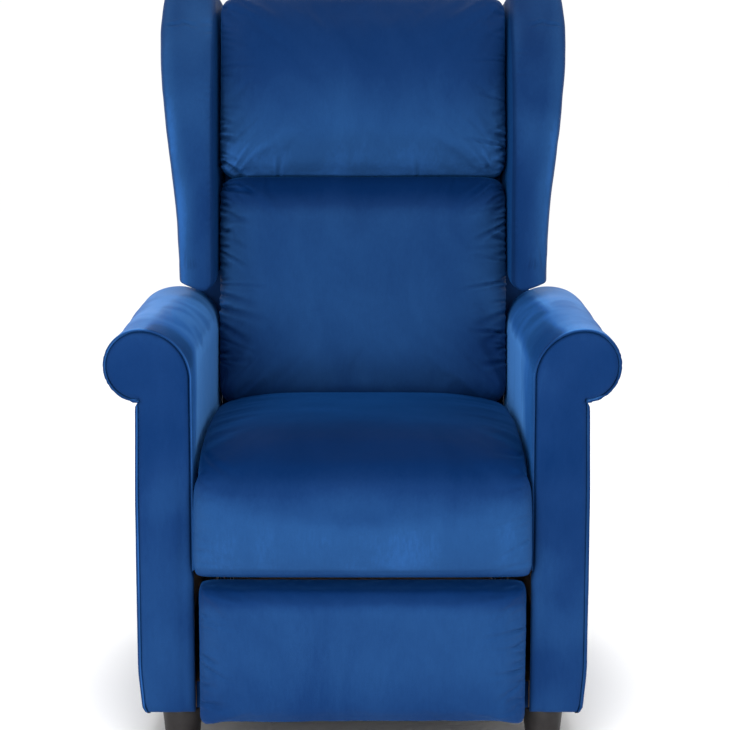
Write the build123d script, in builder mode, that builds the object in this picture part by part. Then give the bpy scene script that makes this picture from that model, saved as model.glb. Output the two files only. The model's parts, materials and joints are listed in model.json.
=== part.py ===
"""Wingback push-back recliner armchair, in millimetres.

The chair faces -Y, stands on z = 0 and is centred on x = 0.
Depths named below are measured backwards from the front face of the arms.
"""

import math
import os

from build123d import *

os.makedirs("parts", exist_ok=True)

# Arms
foot_height = 55.0
arm_half_gap = 238.0
inner_pad_thickness = 37.0
side_frame_thickness = 25.0
outer_cover_thickness = 16.0
arm_depth = 590.0
arm_front_panel_thickness = 18.0
arm_rear_wrap = 10.0
roll_radius = 50.0
roll_height = 609.0
roll_overhang = 6.0
roll_drop = 4.0
roll_curl_angle = 75.0
roll_fullness = 4.0
arm_panel_inset = 2.0
inner_pad_bottom = 262.0
soft_edge = 9.0

# Feet and base
foot_radius = 27.0
foot_edge_inset = 27.0
foot_setback = 45.0
foot_bevel = 3.0
stud_radius = 4.0
stud_grip = 28.0
base_rail_height = 40.0
base_rail_end_gap = 12.0
rear_rail_thickness = 24.0
rear_rail_height = 140.0
rear_lower_cover_thickness = 10.0
rear_lower_cover_height = 241.0
rear_lower_cover_margin = 18.0

# Mechanism plates, pins and their clearances
plate_thickness = 3.0
layer_gap = 3.0
end_play = 0.1
pin_radius = 4.0
pin_clearance = 0.06
pin_shoulder = 2.5
pin_head_overhang = 3.0
pin_head_thickness = 2.4
link_width = 21.0
swing_width = 24.0
base_plate_rise = 22.0
base_plate_end = 25.0
base_plate_foot = 5.0
base_tube_radius = 12.5
tube_wall = 2.0
guide_tube_radius = 11.0

# Seat swing, a parallelogram of four equal links
swing_setback = 190.0
swing_spacing = 170.0
swing_pivot_height = 115.0
swing_length = 115.0
swing_lean = 25.0

# Seat frame and cushion
seat_side_clearance = 4.0
seat_rail_thickness = 24.0
seat_rail_bottom = 266.0
seat_rail_height = 64.0
seat_front_setback = 27.0
seat_hinge_gap = 40.0
spring_wire_radius = 1.9
spring_count = 5
spring_bends = 14
spring_half_bar = 12.0
spring_margin = 62.0
clip_thickness = 1.6
clip_width = 14.0
clip_length = 16.0
clip_play = 0.4
cushion_lift = 0.3
seat_cushion_clearance = 6.0
seat_cushion_hinge_gap = 108.0
seat_crown_height = 466.0
seat_rear_height = 443.0
seat_nose_overhang = 45.0
seat_nose_bottom = 261.0
seat_end_drop = 15.0
seat_end_draw = 11.0
seat_nose_round = 20.0
seat_nose_shoulder = 36.0
seat_crown_setback = 135.0
seat_top_swell = 7.0
seat_sections = (-1.0, -0.88, -0.5, 0.0, 0.5, 0.88, 1.0)
seat_end_power = 5
seat_brow_along = 0.3
seat_brow_rise = 0.68

# Footrest
footrest_half_width = 229.0
footrest_bottom = 47.0
footrest_height = 205.0
footrest_cushion_depth = 58.0
footrest_board_setback = 20.0
footrest_board_thickness = 17.0
footrest_board_margin = 14.0
footrest_draw = 9.0
bracket_flange = 26.0
bracket_margin = 30.0

# Footrest linkage, measured from the arm fronts and from the floor
turn_centre_setback = -28.0
turn_centre_height = 370.0
drive_pivot_setback = 52.0
drive_pivot_height = 232.0
carrier_end_setback = 57.0
carrier_end_height = 200.0
guide_spacing = 100.0
tie_arm_length = 62.0
tie_arm_angle = 46.0
guide_tube_along = 0.4

# Back
back_lean = 12.0
hinge_setback = 540.0
hinge_height = 300.0
hinge_pin_radius = 5.0
hinge_wall = 5.5
back_bracket_gap = 1.0
back_bracket_length = 150.0
back_bracket_width = 28.0
back_frame_thickness = 30.0
stile_width = 38.0
stile_foot = 32.0
back_height = 788.0
back_rail_width = 44.0
back_top_pad_thickness = 20.0
back_side_pad_foot = 45.0
webbing_width = 62.0
webbing_thickness = 2.0
webbing_count = 6
lumbar_bottom = 106.0
back_cushion_split = 484.0
back_cushion_gap = 4.0
head_drop = 4.0
lumbar_depth = 125.0
head_depth = 128.0
back_cushion_clearance = 5.0
back_cushion_draw = 9.0
rear_cover_thickness = 22.0
rear_cover_foot = -10.0
rear_cover_rise = 6.6

# Wings: height up the back, half width and reach of the front edge, its thickness, rear half width
wing_low_stations = (
    (290.0, 298.0, 172.0, 50.0, 284.0),
    (450.0, 303.0, 182.0, 55.0, 287.0),
)
# The same, by drop below the top of the back
wing_high_stations = (
    (208.0, 321.0, 176.0, 72.0, 297.0),
    (98.0, 334.0, 146.0, 84.0, 308.0),
    (36.0, 337.0, 110.0, 87.0, 312.0),
    (-6.0, 327.0, 74.0, 72.0, 304.0),
)
wing_arm_gap = 19.0
wing_inner_clearance = 3.0
wing_core_inset = 15.0
wing_core_thickness = 15.0
wing_core_reach = 45.0
wing_core_rise = 12.6
wing_core_drop = 37.0
wing_block_height = 60.0
wing_front_sagitta = 21.0

# Widths across the chair, worked outwards and inwards from the gap between the arms
side_frame_inner = arm_half_gap + inner_pad_thickness
side_frame_outer = side_frame_inner + side_frame_thickness
arm_outer = side_frame_outer + outer_cover_thickness
roll_x = arm_outer - roll_overhang
roll_z = roll_height - roll_radius
side_frame_top = roll_z - roll_radius - roll_drop
seat_rail_outer = arm_half_gap - seat_side_clearance
seat_rail_inner = seat_rail_outer - seat_rail_thickness
seat_plate_layer = (seat_rail_inner - plate_thickness, seat_rail_inner)
swing_layer = (seat_rail_inner + layer_gap, seat_rail_inner + layer_gap + plate_thickness)
base_plate_layer = (swing_layer[1] + layer_gap, swing_layer[1] + layer_gap + plate_thickness)
base_rail_inner = base_plate_layer[1]
layer_pitch = plate_thickness + layer_gap


def link_layer(number):
    """Inner and outer |x| of the footrest linkage layer counted inwards from the seat plate."""
    inner = seat_plate_layer[0] - number * layer_pitch
    return (inner, inner + plate_thickness)


drive_layer = link_layer(1)
guide_layer = drive_layer
tie_layer = link_layer(2)
bracket_layer = link_layer(3)
carrier_layer = link_layer(4)
back_bracket_outer = seat_plate_layer[0] - back_bracket_gap
back_bracket_layer = (back_bracket_outer - plate_thickness, back_bracket_outer)
stile_outer = back_bracket_layer[0]
stile_inner = stile_outer - stile_width

# Depths
lean = math.radians(back_lean)
back_rear_reach = back_frame_thickness / 2 + rear_cover_thickness
overall_depth = (
    seat_nose_overhang
    + hinge_setback
    + back_rear_reach * math.cos(lean)
    + back_height * math.sin(lean)
)
arm_front = seat_nose_overhang - overall_depth / 2
arm_back = arm_front + arm_depth
frame_back = arm_back - arm_rear_wrap
pad_front = arm_front + arm_front_panel_thickness

# Seat levels
seat_rail_top = seat_rail_bottom + seat_rail_height
seat_front = arm_front + seat_front_setback
seat_back = arm_front + hinge_setback - seat_hinge_gap
spring_level = seat_rail_top + end_play + spring_wire_radius
clip_top = spring_level + spring_wire_radius + end_play + clip_thickness
cushion_floor = clip_top + cushion_lift

# Pivots of the seat swing, as points in the side view
swing_offset = Vector(
    swing_length * math.sin(math.radians(swing_lean)),
    swing_length * math.cos(math.radians(swing_lean)),
)
front_swing_foot = Vector(arm_front + swing_setback, swing_pivot_height)
rear_swing_foot = front_swing_foot + Vector(swing_spacing, 0)
front_swing_head = front_swing_foot + swing_offset
rear_swing_head = rear_swing_foot + swing_offset

# Pivots of the footrest linkage: two parallelograms keep every pivot closed at every angle
turn_centre = Vector(arm_front + turn_centre_setback, turn_centre_height)
drive_pivot = Vector(arm_front + drive_pivot_setback, drive_pivot_height)
carrier_end = Vector(arm_front + carrier_end_setback, carrier_end_height)
crank = carrier_end - turn_centre
drive_elbow = drive_pivot + crank
guide_pivot = drive_pivot + Vector(guide_spacing, 0)
guide_foot = drive_elbow + Vector(guide_spacing, 0)
tie_arm = Vector(
    tie_arm_length * math.cos(math.radians(tie_arm_angle)),
    tie_arm_length * math.sin(math.radians(tie_arm_angle)),
)
tie_foot = drive_elbow + tie_arm
tie_head = carrier_end + tie_arm
guide_tube_centre = guide_pivot + crank * guide_tube_along

# Back: a plane through the hinge, leaning with the back; its normal points forwards
hinge = Vector(arm_front + hinge_setback, hinge_height)
back_up = Vector(0, math.sin(lean), math.cos(lean))
back_forward = Vector(0, -math.cos(lean), math.sin(lean))
back_plane = Plane(origin=(0, hinge.X, hinge.Y), x_dir=(1, 0, 0), z_dir=back_forward)
back_front_face = back_frame_thickness / 2
cushion_back_face = back_front_face + webbing_thickness + cushion_lift
back_cushion_half = arm_half_gap - back_cushion_clearance
back_frame_top = back_height - back_top_pad_thickness
head_top = back_height - head_drop
wing_inner = back_cushion_half + wing_inner_clearance
wing_floor = roll_height + roll_fullness + wing_arm_gap
wing_foot = (wing_floor - hinge_height) / math.cos(lean)
wing_core_foot = wing_foot + wing_core_rise
wing_core_top = back_height - wing_core_drop
wing_stations = [
    *wing_low_stations,
    *[(back_height - drop, *section) for drop, *section in wing_high_stations],
]


def keep(builder, name):
    """Label a finished piece and write it as its own file."""
    builder.part.label = name
    export_step(builder.part, f"parts/{name}.step")


def side_plane(sign, inner, outer):
    """Side-view plane whose extrusion by outer - inner fills that layer on one side."""
    return Plane.YZ.offset(inner if sign > 0 else -outer)


def side_span(sign, inner, outer):
    """Middle and width in x of a span on one side."""
    return sign * (inner + outer) / 2, outer - inner


def bar_outline(pivots, width):
    """A flat bar with round ends that runs through its pivots, as a sketch."""
    with BuildSketch() as outline:
        for start, end in zip(pivots, pivots[1:]):
            run = end - start
            with Locations((start + end) * 0.5):
                SlotCenterToCenter(run.length, width, math.degrees(math.atan2(run.Y, run.X)))
    return outline.sketch


def round_bar(point, sign, inner, outer, radius):
    """A cylinder across the chair at a side-view point, on one side."""
    middle, width = side_span(sign, inner, outer)
    with Locations((middle, point.X, point.Y)):
        Cylinder(radius, width, rotation=(0, 90, 0))


def pivot_pin(point, sign, inner_layer, outer_layer, radius):
    """A shouldered pin through two plates, with a head on each end."""
    head = radius + pin_head_overhang
    round_bar(point, sign, inner_layer[0], outer_layer[1], radius)
    round_bar(point, sign, inner_layer[1] + end_play, outer_layer[0] - end_play, radius + pin_shoulder)
    for low in (inner_layer[0] - end_play - pin_head_thickness, outer_layer[1] + end_play):
        round_bar(point, sign, low, low + pin_head_thickness, head)
    round_bar(point, sign, inner_layer[0] - end_play, outer_layer[1] + end_play, radius)


def arm_outline(sign, inner, fullness, bottom):
    """Scroll outline of an arm seen from the front, as a face in the front view."""
    radius = roll_radius + fullness
    top = Vector(sign * roll_x, roll_z + radius)
    sweep_in = roll_x - inner
    curl = math.radians(-roll_curl_angle)
    side = math.radians(45 - roll_curl_angle / 2)
    curl_end = Vector(sign * (roll_x + radius * math.cos(curl)), roll_z + radius * math.sin(curl))
    curl_side = Vector(sign * (roll_x + radius * math.cos(side)), roll_z + radius * math.sin(side))
    shoulder = Vector(sign * inner, top.Y - sweep_in)
    diagonal = sweep_in * math.sin(math.radians(45))
    shoulder_middle = Vector(sign * (roll_x - diagonal), top.Y - sweep_in + diagonal)
    post = [(sign * arm_outer, side_frame_top)]
    if bottom < side_frame_top:
        post.append((sign * arm_outer, bottom))
    with BuildSketch() as outline:
        with BuildLine():
            Line((sign * inner, bottom), shoulder)
            ThreePointArc(shoulder, shoulder_middle, top)
            ThreePointArc(top, curl_side, curl_end)
            Polyline(curl_end, *post, (sign * inner, bottom))
        make_face()
    return outline.sketch


# Arms: a wooden side frame dressed with an inner pad, a roll, an outer cover and a scroll front
for side, sign in (("left", -1), ("right", 1)):
    arm_run = arm_back - pad_front
    with BuildPart() as side_frame:
        middle, width = side_span(sign, side_frame_inner, side_frame_outer)
        with Locations((middle, pad_front, foot_height)):
            Box(
                width,
                frame_back - pad_front,
                side_frame_top - foot_height,
                align=(Align.CENTER, Align.MIN, Align.MIN),
            )
    keep(side_frame, f"{side}_side_frame")

    with BuildPart() as inner_pad:
        middle, width = side_span(sign, arm_half_gap, side_frame_inner)
        with Locations((middle, pad_front, inner_pad_bottom)):
            Box(
                width,
                frame_back - pad_front,
                side_frame_top - inner_pad_bottom,
                align=(Align.CENTER, Align.MIN, Align.MIN),
            )
        inner_face = inner_pad.faces().sort_by(Axis.X)[0 if sign > 0 else -1]
        fillet(inner_face.edges().filter_by(Axis.Z).sort_by(Axis.Y)[-1], soft_edge)
    keep(inner_pad, f"{side}_inner_arm_pad")

    with BuildPart() as outer_cover:
        middle, width = side_span(sign, side_frame_outer, arm_outer)
        with Locations((middle, pad_front, foot_height)):
            Box(
                width,
                arm_run,
                side_frame_top - foot_height,
                align=(Align.CENTER, Align.MIN, Align.MIN),
            )
        outer_face = outer_cover.faces().sort_by(Axis.X)[-1 if sign > 0 else 0]
        fillet(outer_face.edges().filter_by(Axis.Z).sort_by(Axis.Y)[-1], soft_edge)
    keep(outer_cover, f"{side}_outer_arm_cover")

    with BuildPart() as arm_roll:
        with BuildSketch(Plane.XZ.offset(-pad_front)):
            add(arm_outline(sign, arm_half_gap, roll_fullness, side_frame_top))
        extrude(amount=-arm_run)
        roll_edges = arm_roll.faces().sort_by(Axis.Y)[-1].edges()
        fillet(roll_edges.filter_by(GeomType.CIRCLE), soft_edge)
    keep(arm_roll, f"{side}_arm_roll")

    with BuildPart() as arm_front_panel:
        with BuildSketch(Plane.XZ.offset(-pad_front)):
            add(arm_outline(sign, arm_half_gap + arm_panel_inset, 0, foot_height))
        extrude(amount=arm_front_panel_thickness)
        front_edges = arm_front_panel.faces().sort_by(Axis.Y)[0].edges()
        fillet(front_edges, arm_front_panel_thickness / 3)
    keep(arm_front_panel, f"{side}_arm_front_panel")

# Base rails that carry the mechanism, with holes for the foot studs
foot_x = arm_outer - foot_edge_inset - foot_radius
foot_front_y = arm_front + foot_setback
foot_back_y = arm_back - foot_setback
base_rail_front = arm_front + arm_front_panel_thickness + base_rail_end_gap
base_rail_top = foot_height + base_rail_height
for side, sign in (("left", -1), ("right", 1)):
    with BuildPart() as base_rail:
        middle, width = side_span(sign, base_rail_inner, side_frame_inner)
        with Locations((middle, base_rail_front, foot_height)):
            Box(
                width,
                frame_back - base_rail_front,
                base_rail_height,
                align=(Align.CENTER, Align.MIN, Align.MIN),
            )
        for foot_y in (foot_front_y, foot_back_y):
            with Locations((sign * foot_x, foot_y, foot_height)):
                Cylinder(
                    stud_radius + pin_clearance,
                    stud_grip,
                    align=(Align.CENTER, Align.CENTER, Align.MIN),
                    mode=Mode.SUBTRACT,
                )
    keep(base_rail, f"{side}_base_rail")

# Feet, turned from black plastic, each on a threaded stud
foot_places = {
    "left_front": (-foot_x, foot_front_y),
    "right_front": (foot_x, foot_front_y),
    "left_rear": (-foot_x, foot_back_y),
    "right_rear": (foot_x, foot_back_y),
}
for place, (foot_px, foot_py) in foot_places.items():
    with BuildPart() as foot:
        with Locations((foot_px, foot_py, 0)):
            Cylinder(foot_radius, foot_height, align=(Align.CENTER, Align.CENTER, Align.MIN))
        chamfer(foot.faces().sort_by(Axis.Z)[0].edges(), foot_bevel)
        with Locations((foot_px, foot_py, foot_height)):
            Cylinder(
                stud_radius + pin_clearance,
                stud_grip,
                align=(Align.CENTER, Align.CENTER, Align.MAX),
                mode=Mode.SUBTRACT,
            )
    keep(foot, f"{place}_foot")

with BuildPart() as foot_studs:
    for foot_px, foot_py in foot_places.values():
        with Locations((foot_px, foot_py, foot_height)):
            Cylinder(stud_radius, 2 * stud_grip)
keep(foot_studs, "foot_studs")

# Rear of the base: a cross rail on the base rails, and a cover board behind it
with BuildPart() as rear_cross_rail:
    with Locations((0, frame_back, base_rail_top)):
        Box(
            2 * side_frame_inner,
            rear_rail_thickness,
            rear_rail_height,
            align=(Align.CENTER, Align.MAX, Align.MIN),
        )
keep(rear_cross_rail, "rear_cross_rail")

with BuildPart() as rear_lower_cover:
    with Locations((0, frame_back, foot_height)):
        Box(
            2 * (side_frame_outer - rear_lower_cover_margin),
            rear_lower_cover_thickness,
            rear_lower_cover_height,
            align=(Align.CENTER, Align.MIN, Align.MIN),
        )
keep(rear_lower_cover, "rear_lower_cover")

# Base plates of the mechanism, joined by a cross tube
base_plate_bottom = foot_height + base_plate_foot
base_plate_top = swing_pivot_height + base_plate_rise
for side, sign in (("left", -1), ("right", 1)):
    with BuildPart() as base_plate:
        with BuildSketch(side_plane(sign, *base_plate_layer)):
            with Locations((
                (front_swing_foot.X + rear_swing_foot.X) / 2,
                (base_plate_bottom + base_plate_top) / 2,
            )):
                RectangleRounded(
                    swing_spacing + 2 * base_plate_end,
                    base_plate_top - base_plate_bottom,
                    base_plate_end / 2,
                )
            with Locations(front_swing_foot, rear_swing_foot):
                Circle(pin_radius + pin_clearance, mode=Mode.SUBTRACT)
        extrude(amount=plate_thickness)
    keep(base_plate, f"{side}_base_plate")

with BuildPart() as base_cross_tube:
    tube_y = (front_swing_foot.X + rear_swing_foot.X) / 2
    tube_z = (base_plate_bottom + base_plate_top) / 2
    with Locations((0, tube_y, tube_z)):
        Cylinder(base_tube_radius, 2 * base_plate_layer[0], rotation=(0, 90, 0))
        Cylinder(
            base_tube_radius - tube_wall,
            2 * base_plate_layer[0],
            rotation=(0, 90, 0),
            mode=Mode.SUBTRACT,
        )
keep(base_cross_tube, "base_cross_tube")

# The pins' outer heads sit above the base rails, outside the base plates
with BuildPart() as base_pins:
    for sign in (-1, 1):
        for point in (front_swing_foot, rear_swing_foot):
            pivot_pin(point, sign, swing_layer, base_plate_layer, pin_radius)
keep(base_pins, "base_swing_pins")

# Swing links between the base plates and the seat plates
for name, foot_point, head_point in (
    ("front_swing_links", front_swing_foot, front_swing_head),
    ("rear_swing_links", rear_swing_foot, rear_swing_head),
):
    with BuildPart() as swing_links:
        for sign in (-1, 1):
            with BuildSketch(side_plane(sign, *swing_layer)):
                add(bar_outline([foot_point, head_point], swing_width))
                with Locations(foot_point, head_point):
                    Circle(pin_radius + pin_clearance, mode=Mode.SUBTRACT)
            extrude(amount=plate_thickness)
    keep(swing_links, name)

# Seat frame of four rails; the rear rail sits between the seat plates
with BuildPart() as seat_front_rail:
    with Locations((0, seat_front, seat_rail_bottom)):
        Box(
            2 * seat_rail_outer,
            seat_rail_thickness,
            seat_rail_height,
            align=(Align.CENTER, Align.MIN, Align.MIN),
        )
keep(seat_front_rail, "seat_front_rail")

with BuildPart() as seat_rear_rail:
    with Locations((0, seat_back, seat_rail_bottom)):
        Box(
            2 * seat_plate_layer[0],
            seat_rail_thickness,
            seat_rail_height,
            align=(Align.CENTER, Align.MAX, Align.MIN),
        )
keep(seat_rear_rail, "seat_rear_rail")

side_rail_front = seat_front + seat_rail_thickness
with BuildPart() as seat_side_rails:
    for sign in (-1, 1):
        middle, width = side_span(sign, seat_rail_inner, seat_rail_outer)
        with Locations((middle, side_rail_front, seat_rail_bottom)):
            Box(
                width,
                seat_back - side_rail_front,
                seat_rail_height,
                align=(Align.CENTER, Align.MIN, Align.MIN),
            )
keep(seat_side_rails, "seat_side_rails")

# Seat plates: bolted inside the side rails, they carry the swing, the footrest and the back hinge
boss = swing_width / 2
hinge_boss = hinge_pin_radius + hinge_wall
plate_front = side_rail_front + end_play
for side, sign in (("left", -1), ("right", 1)):
    with BuildPart() as seat_plate:
        with BuildSketch(side_plane(sign, *seat_plate_layer)):
            with BuildLine():
                Polyline(
                    (plate_front, seat_rail_top - boss),
                    (plate_front, seat_rail_bottom - end_play),
                    (drive_pivot.X - boss, seat_rail_bottom - end_play),
                    (drive_pivot.X - boss, drive_pivot.Y - boss),
                    (guide_pivot.X, guide_pivot.Y - boss),
                    (front_swing_head.X - boss, front_swing_head.Y - boss),
                    (rear_swing_head.X + boss, rear_swing_head.Y - boss),
                    (hinge.X, hinge.Y - hinge_boss),
                    (hinge.X, hinge.Y + hinge_boss),
                    (seat_back, seat_rail_top - end_play),
                    close=True,
                )
            make_face()
            with Locations(drive_pivot, guide_pivot, front_swing_head, rear_swing_head):
                Circle(pin_radius + pin_clearance, mode=Mode.SUBTRACT)
            with Locations(hinge):
                Circle(hinge_boss)
                Circle(hinge_pin_radius + pin_clearance, mode=Mode.SUBTRACT)
        extrude(amount=plate_thickness)
    keep(seat_plate, f"{side}_seat_plate")

with BuildPart() as seat_pins:
    for sign in (-1, 1):
        pivot_pin(drive_pivot, sign, drive_layer, seat_plate_layer, pin_radius)
        pivot_pin(guide_pivot, sign, guide_layer, seat_plate_layer, pin_radius)
        pivot_pin(front_swing_head, sign, seat_plate_layer, swing_layer, pin_radius)
        pivot_pin(rear_swing_head, sign, seat_plate_layer, swing_layer, pin_radius)
        pivot_pin(hinge, sign, back_bracket_layer, seat_plate_layer, hinge_pin_radius)
keep(seat_pins, "seat_pins")

# Zigzag seat springs from the front rail to the rear rail
spring_front = seat_front + seat_rail_thickness / 2
spring_back = seat_back - seat_rail_thickness / 2
bend_radius = (spring_back - spring_front) / (2 * spring_bends)
spring_half_span = seat_plate_layer[0] - spring_margin
spring_step = 2 * spring_half_span / (spring_count - 1)
spring_places = [-spring_half_span + index * spring_step for index in range(spring_count)]
with BuildPart() as seat_springs:
    for spring_x in spring_places:
        with BuildLine() as spring_path:
            for bend in range(spring_bends + 1):
                turn = 1 if bend % 2 == 0 else -1
                bar_y = spring_front + 2 * bend_radius * bend
                bar_start = Vector(spring_x - turn * spring_half_bar, bar_y, spring_level)
                bar_end = Vector(spring_x + turn * spring_half_bar, bar_y, spring_level)
                Line(bar_start, bar_end)
                if bend < spring_bends:
                    ThreePointArc(
                        bar_end,
                        bar_end + Vector(turn * bend_radius, bend_radius, 0),
                        bar_end + Vector(0, 2 * bend_radius, 0),
                    )
        wire_start = (spring_x - spring_half_bar, spring_front, spring_level)
        with BuildSketch(Plane(origin=wire_start, z_dir=(1, 0, 0))) as wire:
            Circle(spring_wire_radius)
        sweep(sections=wire.sketch, path=spring_path.wires()[0])
keep(seat_springs, "seat_springs")

# Clips that hold the first and last bar of each spring down on its rail
with BuildPart() as spring_clips:
    for spring_x in spring_places:
        for clip_y in (spring_front, spring_back):
            with Locations((spring_x, clip_y, seat_rail_top)):
                Box(
                    clip_width,
                    clip_length,
                    clip_top - seat_rail_top,
                    align=(Align.CENTER, Align.CENTER, Align.MIN),
                )
                Box(
                    clip_width,
                    2 * (spring_wire_radius + clip_play),
                    clip_top - clip_thickness - seat_rail_top,
                    align=(Align.CENTER, Align.CENTER, Align.MIN),
                    mode=Mode.SUBTRACT,
                )
keep(spring_clips, "spring_clips")

# Seat cushion: crowned top, waterfall nose over the front rail, ends drawn in
cushion_half = arm_half_gap - seat_cushion_clearance
cushion_step = seat_front - cushion_lift
cushion_back = arm_front + hinge_setback - seat_cushion_hinge_gap
with BuildPart() as seat_cushion:
    for share in seat_sections:
        fall = abs(share) ** seat_end_power
        nose = arm_front - seat_nose_overhang + seat_end_draw * fall
        crown = seat_crown_height - seat_end_drop * fall
        rear = seat_rear_height - seat_end_drop * fall
        nose_low = (nose + seat_nose_round, seat_nose_bottom)
        nose_high = (nose + seat_nose_round, crown - seat_nose_shoulder)
        crown_front = (nose + seat_crown_setback, crown)
        rear_top = (cushion_back, rear)
        with BuildSketch(Plane.YZ.offset(share * cushion_half)):
            with BuildLine():
                Polyline(
                    rear_top,
                    (cushion_back, cushion_floor),
                    (cushion_step, cushion_floor),
                    (cushion_step, seat_nose_bottom),
                    nose_low,
                )
                ThreePointArc(nose_low, (nose, (nose_low[1] + nose_high[1]) / 2), nose_high)
                ThreePointArc(
                    nose_high,
                    (
                        nose_high[0] + seat_brow_along * (crown_front[0] - nose_high[0]),
                        nose_high[1] + seat_brow_rise * seat_nose_shoulder,
                    ),
                    crown_front,
                )
                ThreePointArc(
                    crown_front,
                    (
                        (crown_front[0] + rear_top[0]) / 2,
                        (crown_front[1] + rear_top[1]) / 2 + seat_top_swell,
                    ),
                    rear_top,
                )
            make_face()
    loft()
keep(seat_cushion, "seat_cushion")

# Footrest linkage, in four layers inside each seat plate
with BuildPart() as drive_links:
    for sign in (-1, 1):
        with BuildSketch(side_plane(sign, *drive_layer)):
            add(bar_outline([drive_pivot, drive_elbow, tie_foot], link_width))
            with Locations(drive_pivot, drive_elbow, tie_foot):
                Circle(pin_radius + pin_clearance, mode=Mode.SUBTRACT)
        extrude(amount=plate_thickness)
keep(drive_links, "footrest_drive_links")

with BuildPart() as drive_rivets:
    for sign in (-1, 1):
        pivot_pin(drive_elbow, sign, carrier_layer, drive_layer, pin_radius)
        pivot_pin(tie_foot, sign, tie_layer, drive_layer, pin_radius)
keep(drive_rivets, "drive_link_rivets")

with BuildPart() as guide_links:
    for sign in (-1, 1):
        with BuildSketch(side_plane(sign, *guide_layer)):
            add(bar_outline([guide_pivot, guide_foot], link_width))
            with Locations(guide_pivot, guide_foot):
                Circle(pin_radius + pin_clearance, mode=Mode.SUBTRACT)
        extrude(amount=plate_thickness)
keep(guide_links, "footrest_guide_links")

with BuildPart() as guide_tube:
    with Locations((0, guide_tube_centre.X, guide_tube_centre.Y)):
        Cylinder(guide_tube_radius, 2 * guide_layer[0], rotation=(0, 90, 0))
        Cylinder(
            guide_tube_radius - tube_wall,
            2 * guide_layer[0],
            rotation=(0, 90, 0),
            mode=Mode.SUBTRACT,
        )
keep(guide_tube, "footrest_guide_tube")

with BuildPart() as carrier_links:
    for sign in (-1, 1):
        with BuildSketch(side_plane(sign, *carrier_layer)):
            add(bar_outline([guide_foot, drive_elbow, carrier_end], link_width))
            with Locations(guide_foot, drive_elbow, carrier_end):
                Circle(pin_radius + pin_clearance, mode=Mode.SUBTRACT)
        extrude(amount=plate_thickness)
keep(carrier_links, "footrest_carrier_links")

with BuildPart() as carrier_rivets:
    for sign in (-1, 1):
        pivot_pin(guide_foot, sign, carrier_layer, guide_layer, pin_radius)
        pivot_pin(carrier_end, sign, carrier_layer, bracket_layer, pin_radius)
keep(carrier_rivets, "carrier_link_rivets")

with BuildPart() as tie_links:
    for sign in (-1, 1):
        with BuildSketch(side_plane(sign, *tie_layer)):
            add(bar_outline([tie_foot, tie_head], link_width))
            with Locations(tie_foot, tie_head):
                Circle(pin_radius + pin_clearance, mode=Mode.SUBTRACT)
        extrude(amount=plate_thickness)
keep(tie_links, "footrest_tie_links")

# Footrest: a board on two steel brackets, with a padded panel in front
board_front = arm_front + footrest_board_setback
board_back = board_front + footrest_board_thickness
board_bottom = footrest_bottom + footrest_board_margin
footrest_middle = footrest_bottom + footrest_height / 2
bracket_low = Vector(board_back + link_width / 2, board_bottom + bracket_margin)
for side, sign in (("left", -1), ("right", 1)):
    with BuildPart() as footrest_bracket:
        with BuildSketch(side_plane(sign, *bracket_layer)):
            add(bar_outline([bracket_low, carrier_end, tie_head], link_width))
            with BuildLine():
                Polyline(
                    (board_back, bracket_low.Y),
                    (bracket_low.X, bracket_low.Y),
                    (carrier_end.X, carrier_end.Y),
                    (board_back, carrier_end.Y),
                    close=True,
                )
            make_face()
            with Locations(carrier_end, tie_head):
                Circle(pin_radius + pin_clearance, mode=Mode.SUBTRACT)
        extrude(amount=plate_thickness)
        flange_middle, flange_width = side_span(sign, bracket_layer[1] - bracket_flange, bracket_layer[1])
        with Locations((flange_middle, board_back, bracket_low.Y)):
            Box(
                flange_width,
                plate_thickness,
                carrier_end.Y - bracket_low.Y,
                align=(Align.CENTER, Align.MIN, Align.MIN),
            )
    keep(footrest_bracket, f"{side}_footrest_bracket")

with BuildPart() as bracket_rivets:
    for sign in (-1, 1):
        pivot_pin(tie_head, sign, bracket_layer, tie_layer, pin_radius)
keep(bracket_rivets, "footrest_bracket_rivets")

with BuildPart() as footrest_board:
    with Locations((0, board_front, footrest_middle)):
        Box(
            2 * (footrest_half_width - footrest_board_margin),
            footrest_board_thickness,
            footrest_height - 2 * footrest_board_margin,
            align=(Align.CENTER, Align.MIN, Align.CENTER),
        )
keep(footrest_board, "footrest_board")

# A pillow is lofted through sections: share of the depth, share of the draw, corner radius
pillow_sections = ((0.0, 1.0, 18.0), (0.38, 0.0, 30.0), (0.8, 1.0, 38.0), (1.0, 4.2, 55.0))

with BuildPart() as footrest_cushion:
    for share, draw, corner in pillow_sections:
        pillow_y = board_front - cushion_lift - share * footrest_cushion_depth
        with BuildSketch(Plane.XZ.offset(-pillow_y)):
            with Locations((0, footrest_middle)):
                RectangleRounded(
                    2 * (footrest_half_width - draw * footrest_draw),
                    footrest_height - 2 * draw * footrest_draw,
                    corner,
                )
    loft()
keep(footrest_cushion, "footrest_cushion")

# Back frame: two stiles, three rails and elastic webbing
with BuildPart() as back_stiles:
    with BuildSketch(back_plane.offset(-back_front_face)):
        for sign in (-1, 1):
            middle, width = side_span(sign, stile_inner, stile_outer)
            with Locations((middle, (stile_foot + back_frame_top) / 2)):
                Rectangle(width, back_frame_top - stile_foot)
    extrude(amount=back_frame_thickness)
keep(back_stiles, "back_stiles")

rail_heights = (
    stile_foot + back_rail_width / 2,
    back_cushion_split,
    back_frame_top - back_rail_width / 2,
)
with BuildPart() as back_rails:
    with BuildSketch(back_plane.offset(-back_front_face)):
        for rail_w in rail_heights:
            with Locations((0, rail_w)):
                Rectangle(2 * stile_inner, back_rail_width)
    extrude(amount=back_frame_thickness)
keep(back_rails, "back_rails")

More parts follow.
